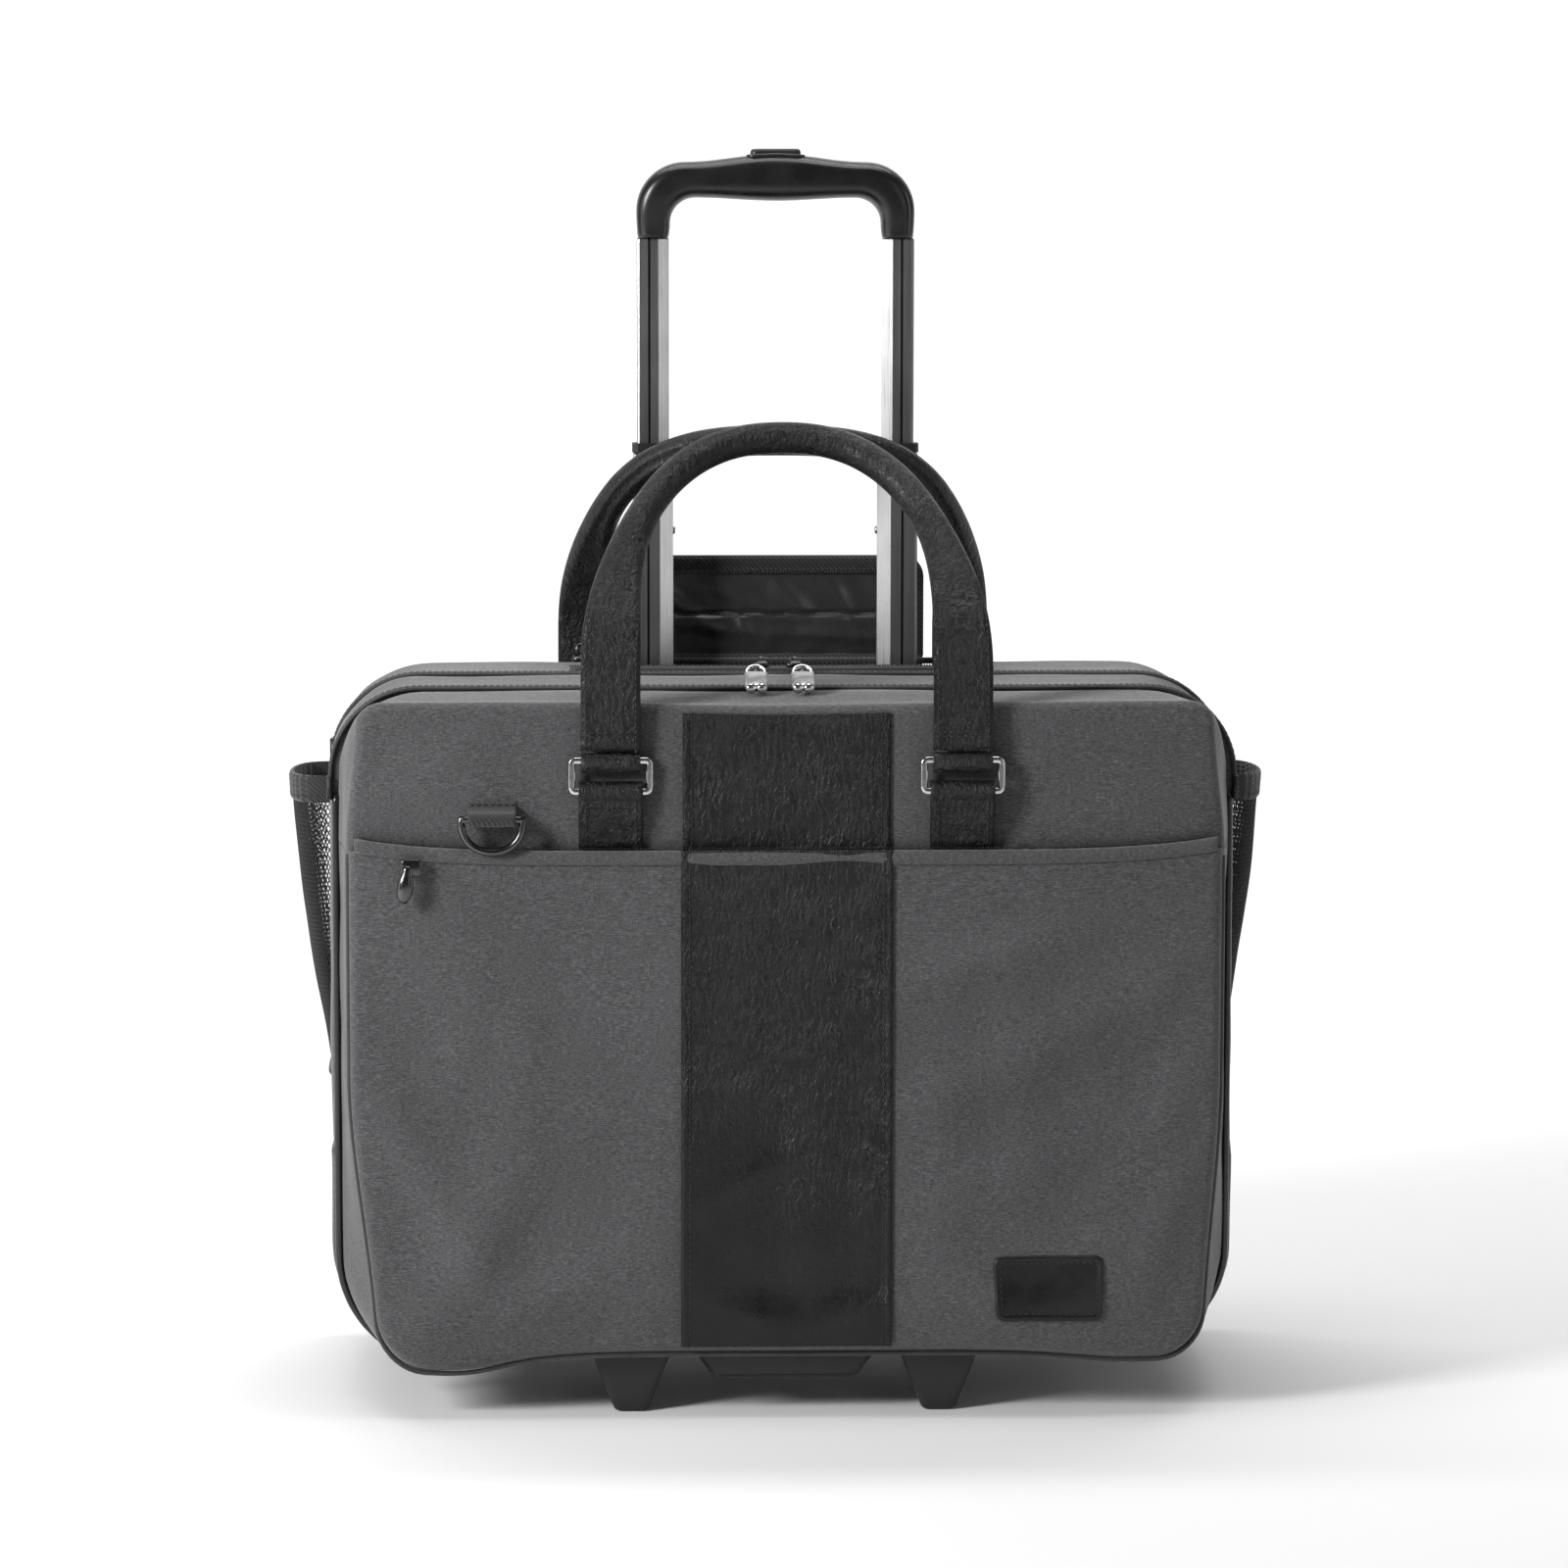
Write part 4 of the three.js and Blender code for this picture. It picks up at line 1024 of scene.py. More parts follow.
lower_span = (low("leather_panel_lower").x, high("leather_panel_lower").x)
lower_rise = (BASE_Z + 5 * MM, SPLIT_Z + 0.4 * MM)
hide_lower = laid_sheet("leather_panel_front", lower_span, lower_rise, pocket_surface,
                        1.0 * MM, 1.6 * MM, (90, 200), [GRAINED],
                        leather_relief(*lower_span, HIDE_FOLDS))
carry(hide_lower, "front_section", "leather", "leather_panel_lower")
upper_span = (low("leather_panel_upper").x, high("leather_panel_upper").x)
upper_rise = (SPLIT_Z - 0.5 * MM, TOP_Z - 4.5 * MM)
hide_upper = laid_sheet("leather_panel_top", upper_span, upper_rise, upper_surface,
                        1.0 * MM, 1.6 * MM, (90, 70), [GRAINED],
                        leather_relief(*upper_span, HIDE_FOLDS))
carry(hide_upper, "front_top", "leather", "leather_panel_upper")


def hide_line(x, z0, z1, surface, lift):
    steps = max(int((z1 - z0) / (4 * MM)), 2)
    return [(surface(x, z0 + (z1 - z0) * i / steps) - Vector((0, lift, 0)), (0, 1, 0))
            for i in range(steps + 1)]


hide_seams = stitches("hide_stitches", [
    hide_line(x, *lower_rise, pocket_surface, 1.3 * MM)
    for x in (lower_span[0] + 4.2 * MM, lower_span[1] - 4.2 * MM)])
carry(hide_seams, "front_section", "leather")
hide_seams_top = stitches("hide_stitches_top", [
    hide_line(x, *upper_rise, upper_surface, 1.3 * MM)
    for x in (upper_span[0] + 4.2 * MM, upper_span[1] - 4.2 * MM)])
carry(hide_seams_top, "front_top", "leather")

# %% [markdown]
# The label is a small leather patch with a raised rim and a stitched border. It is left
# blank. It is made from rounded outlines, one inside the other, each at its own height.
# %% Label patch
def label():
    a, b = low("label_patch"), high("label_patch")
    cx, cz = (a.x + b.x) / 2, (a.z + b.z) / 2
    half, tall = (b.x - a.x) / 2, (b.z - a.z) / 2
    profile = [(0.0, -0.2), (0.0, 0.7), (0.4, 1.25), (1.3, 1.5), (2.1, 1.25), (2.6, 0.8),
               (3.4, 0.72), (6.0, 0.8), (11.0, 0.85), (15.0, 0.85)]
    tilt = math.radians(-2.4)

    def spot(x, z, lift):
        u = cx + x * math.cos(tilt) + z * math.sin(tilt)
        w = cz - x * math.sin(tilt) + z * math.cos(tilt)
        return pocket_surface(u, w) - Vector((0, lift * MM, 0))

    rings = []
    for inset, lift in profile:
        d = inset * MM
        r = max(4 * MM - d, 0.6 * MM)
        outline = rounded(half - 1 * MM - d, -(tall - 1 * MM - d), tall - 1 * MM - d, r, r, 96)
        rings.append([spot(x, z, lift) for x, z in outline])
    patch = loft("label_leather", rings, [TRIM])
    carry(patch, "front_section", "leather", "label_patch")
    d = 3.3 * MM
    outline = rounded(half - 1 * MM - d, -(tall - 1 * MM - d), tall - 1 * MM - d, 1 * MM, 1 * MM, 80)
    outline.append(outline[0])
    rim = stitches("label_stitches", [[(spot(x, z, 0.95), (0, 1, 0)) for x, z in outline]])
    carry(rim, "front_section", "leather")


label()

# %% [markdown]
# ## Piping, mouth edge and zips
# Glossy piping covers the seam at the back of the front compartment, from one end of its
# zip, round the bottom, to the other end. The pocket's mouth is a turned edge with a narrow
# black zip sewn inside it.
# %% Piping and pocket mouth
def outline_run(shape, y, inside, count=400):
    """Points of a rounded outline where inside(x, z) holds, in order, as one open run."""
    points = rounded(*shape, count)
    flags = [inside(x, z) for x, z in points]
    first = next(i for i in range(count) if flags[i] and not flags[i - 1])
    run = []
    for k in range(count):
        i = (first + k) % count
        if not flags[i]:
            break
        x, z = points[i]
        run.append(Vector((x, y, z)))
    return run


FRONT_ZIP_END = low("front_zip_track").z
pipe_shape = (SEAM_HALF + 1.6 * MM, BASE_Z - 0.6 * MM, TOP_Z, 45 * MM, 42 * MM)
pipe_path = outline_run(pipe_shape, SEAM_Y - 0.2 * MM, lambda x, z: z < FRONT_ZIP_END + 6 * MM)
pipe_path = [p - Vector((0, 0, sag(p.x, p.z))) for p in pipe_path]
piping = sweep("seam_piping", pipe_path, 2.1 * MM, [PIPING])
carry(piping, "front_section", "plastic")

pocket_edge_shape = (POCKET_HALF + 0.2 * MM, BASE_Z, TOP_Z, 22 * MM, 12 * MM)
edge_path = outline_run(pocket_edge_shape, FRONT_Y - 1.2 * MM, lambda x, z: z < SPLIT_Z)
edge_path = [p + Vector((narrowing(p), 0, -sag(p.x, p.z))) for p in edge_path]
pocket_seam = sweep("pocket_seam", edge_path, 1.3 * MM, [TAPE], sides=8)
carry(pocket_seam, "front_section", "lining")

rear_pipe_shape = (BODY_HALF - 7.5 * MM, BASE_Z + 7 * MM, TOP_Z - 7 * MM, 32 * MM, 39 * MM)
rear_pipe_path = [Vector((x, REAR_Y - 2.8 * MM, z)) for x, z in rounded(*rear_pipe_shape, 800)]


def clear_of_wheels(p):
    a, b = low("wheel_housing_right"), high("wheel_housing_right")
    return p.z > b.z - HOUSING_RISE or not a.x - 1 * MM < abs(p.x) < b.x + 1 * MM


def kept_runs(points, keep):
    """The stretches of a closed outline where keep(point) holds."""
    count = len(points)
    first = next(i for i in range(count) if keep(points[i]) and not keep(points[i - 1]))
    runs = [[]]
    for k in range(count):
        p = points[(first + k) % count]
        if keep(p):
            runs[-1].append(p)
        elif runs[-1]:
            runs.append([])
    return [run for run in runs if run]


for place, run in zip(("around", "under"), kept_runs(rear_pipe_path, clear_of_wheels)):
    rear_piping = sweep(f"rear_piping_{place}", run, 1.9 * MM, [PIPING])
    carry(rear_piping, "rear_section", "plastic")


def mouth_edge():
    half = POCKET_HALF - 3 * MM
    count = 120
    xs = [-half + 2 * half * i / count for i in range(count + 1)]
    rings = []
    for x in xs:
        p = pocket_surface(x, SPLIT_Z - 3 * MM)
        rings.append([p + Vector((0, dy * MM, dz * MM)) for dy, dz in (
            (-0.9, -4.0), (-1.5, -1.0), (-1.2, 1.9), (0.2, 3.1), (1.9, 2.2), (2.2, -3.4), (0.8, -4.2))])
    edge = loft("pocket_mouth_edge", rings, [CLOTH])
    carry(edge, "front_section", "melange_fabric")
    coil = []
    for x in xs:
        p = pocket_surface(x, SPLIT_Z - 3 * MM)
        coil.append((p + Vector((0, 2.5 * MM, 3.8 * MM)), (0, 1, 0)))
    teeth = set_out("pocket_mouth_coil", [coil], 1.3 * MM, (0.8 * MM, 2.6 * MM, 1.4 * MM), COIL)
    carry(teeth, "front_section", "plastic")


mouth_edge()


# %% [markdown]
# A zip is two tapes with a coil along their facing edges. Both large zips run over the top
# of the bag and turn down its sides, where each ends in a small stitched tab.
# %% Zips
def zip_run(name, corner, body):
    """Tapes and coil along a rounded outline, and an end tab at each side."""
    node = f"{name}_track"
    y, foot = middle(node).y, low(node).z + 8 * MM
    half, top = high(node).x - 1.6 * MM, TOP_Z - 0.2 * MM
    path = outline_run((half, BASE_Z, top, 45 * MM, corner), y, lambda x, z: z > foot, 720)

    def out(p):
        """The direction away from the bag at a point of the outline."""
        dx, dz = abs(p.x) - (half - corner), p.z - (top - corner)
        if dx <= 0:
            return LEVEL
        return Vector((math.copysign(dx, p.x), 0, max(dz, 0.0))).normalized()

    for way in (-1, 1):
        rings = []
        for p in path:
            n = out(p)
            profile = ((0.7, 0.0), (1.0, 0.9), (4.4, 1.1), (4.9, 0.5), (4.9, -0.6), (0.7, -0.6))
            rings.append([p + Vector((0, way * w * MM, 0)) + n * (h * MM) for w, h in profile])
        tape = loft(f"{name}_tape_{'front' if way < 0 else 'back'}", rings, [TAPE])
        carry(tape, body, "lining", *((node,) if way < 0 else ()))
    line = [(p + out(p) * (0.8 * MM), (0, 1, 0)) for p in path]
    carry(zip_coil(f"{name}_coil", line), body, "plastic")
    seams = []
    for way in (-1, 1):
        seams.append([(p + out(p) * (1.05 * MM) + Vector((0, way * 3.6 * MM, 0)), (0, 1, 0))
                      for p in path])
    carry(stitches(f"{name}_stitches", seams), body, "lining")
    for end in (path[0], path[-1]):
        side = math.copysign(1, end.x)
        rings = []
        for h, grow in ((-8, -0.4), (-7.6, 0.2), (3.0, 0.2), (3.4, -0.4)):
            rings.append([Vector((end.x + side * dx * MM, y + dy * (5.4 + grow) * MM,
                                  end.z + h * MM))
                          for dx, dy in ((-1.0, -1), (1.5 + grow, -1), (1.9 + grow, -0.5),
                                         (1.9 + grow, 0.5), (1.5 + grow, 1), (-1.0, 1))])
        tab = loft(f"{name}_end_{'left' if side < 0 else 'right'}", rings, [TRIM])
        carry(tab, body, "leather")


zip_run("front_zip", 43 * MM, "front_section")
zip_run("laptop_zip", 45 * MM, "rear_section")

# %% [markdown]
# ## Carry handles
# Each handle is one strap of leather. It lies flat where it passes through its rings and is
# rolled round a cord where the hand holds it, so the section changes from a flat strap to a
# tube on the way up. The path is an arch that also leans back, because the two handles fall
# together over the middle of the bag. Each end folds round the upper bar of a ring.
# %% Carry handle path
class Handle:
    """Where one carry handle runs. way is -1 on the front and 1 on the back.

    It rises upright, then leans by an angle over a bend. A higher curve squares the arch."""
    upright = 42 * MM
    height = 178 * MM

    def __init__(self, at, face, way, bend, lean, curve):
        self.at, self.face, self.way = at, face, way
        self.bend, self.lean, self.curve = bend, lean, curve

    def point(self, x, h):
        """The place x across and h up the strap, leaning over the bag as it rises."""
        over = max(0.0, h - self.upright)
        turned = min(over, self.bend)
        tilt = self.lean * turned / self.bend
        radius = self.bend / self.lean
        rest = max(0.0, over - self.bend)
        back = radius * (1 - math.cos(tilt)) + rest * math.sin(self.lean)
        up = min(h, self.upright) + radius * math.sin(tilt) + rest * math.cos(self.lean)
        return Vector((x, self.face - self.way * back, RING_TOP + up))

    def path(self):
        """The strap's run as (across, height up the strap), from one foot to the other."""
        steps = 110
        foot = 36 * MM
        points = [(self.at, 3 * MM + (foot - 3 * MM) * i / 8) for i in range(8)]
        for i in range(steps + 1):
            t = i / steps * math.pi
            c, s = math.cos(t), math.sin(t)
            x = squarer(c, 2 / self.curve) * self.at
            points.append((x, foot + (self.height - foot) * abs(s) ** (2 / self.curve)))
        points += [(-self.at, 3 * MM + (foot - 3 * MM) * i / 8) for i in reversed(range(8))]
        return points


RING_TOP = high("front_ring_left").z
FRONT_HANDLE = Handle(at=85.5 * MM, face=middle("front_ring_left").y, way=-1, bend=40 * MM,
                      lean=0.72, curve=2.3)
REAR_HANDLE = Handle(at=98 * MM, face=middle("rear_ring_left").y, way=1, bend=30 * MM,
                     lean=0.75, curve=2.8)


# %% [markdown]
# The strap's section is a rounded rectangle 29 by 4.5 mm with a raised stitched edge, and
# the grip's is a circle with a closing seam underneath. A smooth step in height blends one
# into the other. The leather gathers in small creases just where the strap starts to roll.
# %% Carry handles
STRAP_HALF, STRAP_THICK, ROLL = 14.5 * MM, 4.5 * MM, 7.8 * MM


def strap_section(roll, wrinkle):
    """Points of the section as (across, out), blended from strap to roll."""
    out = []
    sides = 40
    for k in range(sides):
        t = 2 * math.pi * k / sides
        c, s = math.cos(t), math.sin(t)
        flat_x = STRAP_HALF * squarer(c, 0.35)
        edge = 0.45 * MM * math.exp(-((abs(flat_x) - 11.8 * MM) / (1.2 * MM)) ** 2)
        flat_y = (STRAP_THICK / 2 + edge) * squarer(s, 0.45)
        round_x, round_y = ROLL * c, ROLL * s * 0.96
        if s < -0.985:
            round_y += 0.9 * MM
        out.append((flat_x + (round_x - flat_x) * roll,
                    flat_y + (round_y - flat_y) * roll + wrinkle * s))
    return out


def handle_rings(handle):
    path = handle.path()
    points = [handle.point(x, h) for x, h in path]
    rings, frames = [], []
    for i, p in enumerate(points):
        a, b = points[max(i - 1, 0)], points[min(i + 1, len(points) - 1)]
        along = (b - a).normalized()
        back = Vector((0, handle.way, 0))
        out = (back - along * back.dot(along)).normalized()
        across = along.cross(out)
        h = path[i][1]
        roll = smooth((h - 45 * MM) / (0.78 * handle.height - 45 * MM))
        pucker = 0.35 * MM * ripple(p, 160, 3.0) + 0.25 * MM * ripple(p, 420, 8.0)
        wrinkle = pucker * (0.5 + 1.2 * roll * (1 - roll) * 2)
        section = strap_section(roll, wrinkle)
        rings.append([p + across * x + out * y for x, y in section])
        frames.append((p, across, out, roll, h))
    return rings, frames


def carry_handle(name, handle, body, nodes):
    rings, frames = handle_rings(handle)
    obj = loft(f"{name}_strap", rings, [GRAINED])
    carry(obj, body, "leather", *nodes)
    lines = []
    for side in (-1, 1):
        for part in (frames[:len(frames) // 2], frames[len(frames) // 2:]):
            lines.append([(p + across * (side * 12.2 * MM) + out * (STRAP_THICK / 2 + 0.3 * MM),
                           out) for p, across, out, roll, h in part
                          if h < 105 * MM and roll < 0.22])
    for side in (1, -1):
        p, across, out, roll, h = frames[3] if side > 0 else frames[-4]
        z_row = RING_TOP + 10 * MM
        for dz in (0, 2.2):
            lines.append([(Vector((side * handle.at + x * MM, p.y, z_row + dz * MM))
                           + out * (STRAP_THICK / 2 + 0.3 * MM), out)
                          for x in (-12, -6, 0, 6, 12)])
    seams = stitches(f"{name}_stitches", [line for line in lines if len(line) > 1])
    carry(seams, body, "leather")
    for side in (-1, 1):
        y = handle.face
        fold = [Vector((side * handle.at + x * MM, y, RING_TOP - 2.9 * MM))
                for x in (-14.4, -14, -8, 0, 8, 14, 14.4)]
        roll = sweep(f"{name}_fold_{'left' if side < 0 else 'right'}", fold,
                     lambda t: (4.9 - 0.5 * (abs(t - 0.5) > 0.45)) * MM, [GRAINED], sides=28,
                     flat=0.92)
        carry(roll, body, "leather")


carry_handle("front_handle", FRONT_HANDLE, "front_carry_handle", ("front_handle",))
carry_handle("rear_handle", REAR_HANDLE, "rear_carry_handle", ("rear_handle",))

# %% [markdown]
# ### Rings and tabs
# The rings are flat nickel rectangles with rounded corners. Below each, a leather tab folds
# round the ring's lower bar and is sewn to the bag. The tab's edges are turned and stitched,
# and the fold bulges because two layers of leather pass round the bar.
# %% Rings and tabs
def ring(name, node, body):
    a, b = low(node), high(node)
    y = (a.y + b.y) / 2
    r = 1.7 * MM
    half = (b.x - a.x) / 2 - r
    cx = (a.x + b.x) / 2
    points = [Vector((cx + x, y, z)) for x, z in
              rounded(half, a.z + r, b.z - r, 1.5 * MM, 1.5 * MM, 96)]
    rings = []
    n = len(points)
    for i, p in enumerate(points):
        along = (points[(i + 1) % n] - points[i - 1]).normalized()
        outside = along.cross(Vector((0, 1, 0))).normalized()
        section = []
        for k in range(20):
            t = 2 * math.pi * k / 20
            section.append(p + outside * (r * squarer(math.cos(t), 0.6))
                           + Vector((0, r * 0.82 * squarer(math.sin(t), 0.6), 0)))
        rings.append(section)
    obj = loft(name, rings, [NICKEL], closed_run=True)
    carry(obj, body, "nickel", node)


def tab(name, node, body, way):
    """way is -1 on the front and 1 on the back."""
    a, b = low(node), high(node)
    cx, half = (a.x + b.x) / 2, (b.x - a.x) / 2 - 0.4 * MM
    y_bag = b.y if way < 0 else a.y
    bar_z = b.z - 5.9 * MM
    bar_y = (a.y + b.y) / 2
    foot_z = a.z
    depth = abs(bar_y - y_bag)
    outline = [(y_bag + way * 0.2 * MM, foot_z), (y_bag + way * 2.8 * MM, foot_z)]
    for i in range(6):
        t = i / 5
        y = y_bag + way * (2.9 * MM + (depth + 1.1 * MM) * smooth(t) * 0.9)
        outline.append((y, foot_z + (bar_z - 5 * MM - foot_z) * t))
    for i in range(13):
        t = math.radians(-50 + 230 * i / 12)
        outline.append((bar_y + way * 5.2 * MM * math.cos(t), bar_z + 5.4 * MM * math.sin(t)))
    outline.append((y_bag + way * 0.2 * MM, bar_z - 7 * MM))
    rings = []
    stations = 26
    for i in range(stations + 1):
        u = 2 * i / stations - 1
        edge = abs(u) * half
        bead = 0.5 * MM * math.exp(-((half - edge - 1.6 * MM) / (1.1 * MM)) ** 2)
        pull = -0.8 * MM * smooth((abs(u) - 0.93) / 0.07)
        ring_points = []
        for y, z in outline:
            front = smooth(abs(y - y_bag) / (2.5 * MM))
            drop = 0.35 * MM * ripple((u * half, y, z), 210, 2.0)
            ring_points.append(Vector((cx + u * half, y + way * (bead + pull + drop) * front, z)))
        rings.append(ring_points)
    obj = loft(name, rings, [GRAINED])
    carry(obj, body, "leather", node)
    lines = []
    for side in (-1, 1):
        lines.append([(Vector((cx + side * (half - 3.4 * MM), y + way * 0.5 * MM, z)), (0, 1, 0))
                      for y, z in outline[1:8]])
    z = bar_z - 8.4 * MM
    y = min(outline[4:9], key=lambda q: abs(q[1] - z))[0]
    lines.append([(Vector((cx + x * MM, y + way * 0.6 * MM, z)), (0, 1, 0))
                  for x in (-12, -6, 0, 6, 12)])
    carry(stitches(f"{name}_stitches", lines), body, "leather")


for side, s in SIDES:
    ring(f"front_ring_{side}_metal", f"front_ring_{side}", "front_carry_handle")
    ring(f"rear_ring_{side}_metal", f"rear_ring_{side}", "rear_carry_handle")
    tab(f"front_tab_{side}_leather", f"front_tab_{side}", "front_top", -1)
    tab(f"rear_tab_{side}_leather", f"rear_tab_{side}", "rear_section", 1)

# %% [markdown]
# ### Key ring
# A gunmetal D-ring hangs from a loop of webbing above the pocket. The loop is one length of
# webbing folded over the ring's straight bar and sewn down with a box of stitches.
# %% D-ring and loop
def d_ring():
    a, b = low("d_ring"), high("d_ring")
    r = 1.9 * MM
    cx, y = (a.x + b.x) / 2, (a.y + b.y) / 2
    half = (b.x - a.x) / 2 - r
    top = b.z - r
    bottom = a.z + r
    path = []
    for i in range(11):
        path.append(Vector((cx - half + 2 * half * i / 10, y, top)))
    for i in range(1, 40):
        t = math.pi * i / 40
        sweep_x = half * math.cos(t)
        sweep_z = (top - bottom) * math.sin(t) ** 0.8
        path.append(Vector((cx + sweep_x, y, top - sweep_z)))
    obj = sweep("d_ring_metal", path, r, [GUNMETAL], sides=18, closed=True)
    carry(obj, "d_ring", "gunmetal", "d_ring")


d_ring()


def web_loop():
    a, b = low("d_ring_loop"), high("d_ring_loop")
    cx, half = (a.x + b.x) / 2, (b.x - a.x) / 2 - 0.3 * MM
    bag = b.y
    bar = middle("d_ring").y
    bar_z = high("d_ring").z - 1.9 * MM
    outline = [(bag - 0.1 * MM, b.z), (bag - 2.2 * MM, b.z - 0.2 * MM)]
    outline += [(bag - 2.6 * MM, b.z - 2.5 * MM)]
    for i in range(13):
        t = math.radians(110 + 200 * i / 12)
        outline.append((bar + 3.6 * MM * math.cos(t), bar_z + 3.6 * MM * math.sin(t)))
    outline += [(bag - 0.1 * MM, bar_z - 4 * MM)]
    rings = []
    for i in range(21):
        u = 2 * i / 20 - 1
        pull = 0.5 * MM * smooth((abs(u) - 0.9) / 0.1)
        rings.append([Vector((cx + u * half, y + pull * (y < bag - 1 * MM),
                              z + 0.4 * MM * ripple((u, y, z), 60, 1.0)))
                      for y, z in outline])
    obj = loft("d_ring_webbing", rings, [WEBBING])
    carry(obj, "front_top", "lining", "d_ring_loop")
    lines = [[(Vector((cx + x * MM, bag - 2.7 * MM, z)), (0, 1, 0)) for x in (-10, 0, 10)]
             for z in (b.z - 1.5 * MM, b.z - 3.2 * MM)]
    carry(stitches("d_ring_stitches", lines), "front_top", "lining")


web_loop()

# %% [markdown]
# ## Telescopic handle
# The tubes are extruded aluminium, so one section runs their whole length: a flat face with
# a thin groove in it, and a broad chamfer on the inner side. The loft carries the section
# from end to end. The flat front faces take a darker copy of the aluminium as painted shade,
# standing for the dark reflection they show, so the chamfer reads lighter. The groove's
# faces are painted nearly black as shade in the recess.
# %% Tube profiles
def tube_section(half_w, half_d, inner):
    """Section points and the finish of the face that follows each. inner is the inner side."""
    groove, deep = -0.30 * half_w, 0.7 * MM
    slope = 0.34 * half_w
    corner = 1.3 * MM
    # Finish 1 is the darker copy painted as shade on the front faces, finish 2 the groove painted nearly
    # black as shade, finish 0 the plain aluminium.
    front = [(-half_w, -half_d + corner, 0), (-half_w + 0.4 * MM, -half_d + 0.4 * MM, 0),
             (-half_w + corner, -half_d, 1), (groove, -half_d, 2),
             (groove + 0.2 * MM, -half_d + deep, 2), (groove + 1.0 * MM, -half_d + deep, 2),
             (groove + 1.2 * MM, -half_d, 1), (slope, -half_d, 0),
             (half_w - 0.5 * MM, -half_d * 0.36, 0), (half_w, -half_d * 0.30, 0)]
    back = [(x, -y, k) for x, y, k in reversed(front)]
    section = front + [(x, y, front[(len(front) - 1 - i) - 1][2] if i < len(front) - 1 else 0)
                       for i, (x, y, k) in enumerate(back)]
    return [(x * -inner, y, k) for x, y, k in section]


def tube(name, node, body, inner):
    a, b = low(node), high(node)
    cx, cy = (a.x + b.x) / 2, (a.y + b.y) / 2
    section = tube_section((b.x - a.x) / 2, (b.y - a.y) / 2, -inner)
    heights = [a.z, a.z + 0.5 * MM, b.z - 0.6 * MM, b.z]
    shrink = [0.97, 1.0, 1.0, 0.95]
    rings = [[Vector((cx + x * k, cy + y * k, z)) for x, y, _ in section]
             for z, k in zip(heights, shrink)]
    # The front faces and the groove take the painted-shade copies of the aluminium.
    obj = loft(name, rings, [TUBE, TUBE_FRONT_SHADE, TUBE_GROOVE_SHADE], smooth=False)
    bands = [(cx + x, cy + y, k) for x, y, k in section]
    for polygon in obj.data.polygons:
        c = polygon.center
        if abs(polygon.normal.z) > 0.5:
            continue
        best, kind = 1.0, 0
        for i, (x, y, k) in enumerate(bands):
            nx, ny, _ = bands[(i + 1) % len(bands)]
            d = math.hypot((x + nx) / 2 - c.x, (y + ny) / 2 - c.y)
            if d < best:
                best, kind = d, k
        polygon.material_index = kind
    carry(obj, body, "tube", node)


for side, s in SIDES:
    tube(f"inner_stage_{side}", f"inner_tube_{side}", "upper_stage", -s)
    tube(f"middle_stage_{side}", f"middle_tube_{side}", "lower_stage", -s)


def moulded(node, material, bevel=0.5 * MM, segments=3):
    """A rigid solid from the frame keeps its shape, with eased edges and a real finish."""
    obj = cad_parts[node]
    obj.data.materials.clear()
    obj.data.materials.append(material)
    add_modifier(obj, "BEVEL", width=bevel, segments=segments, limit_method="ANGLE",
                 angle_limit=math.radians(35), harden_normals=True)


for side, s in SIDES:
    moulded(f"tube_collar_{side}", MOULDED)
    moulded(f"sleeve_tube_{side}", TUBE, 0.3 * MM)
    moulded(f"push_rod_{side}", STEEL, 0.2 * MM, 2)
moulded("handle_bezel", MOULDED, 0.8 * MM)
moulded("handle_foot", MOULDED, 0.8 * MM)

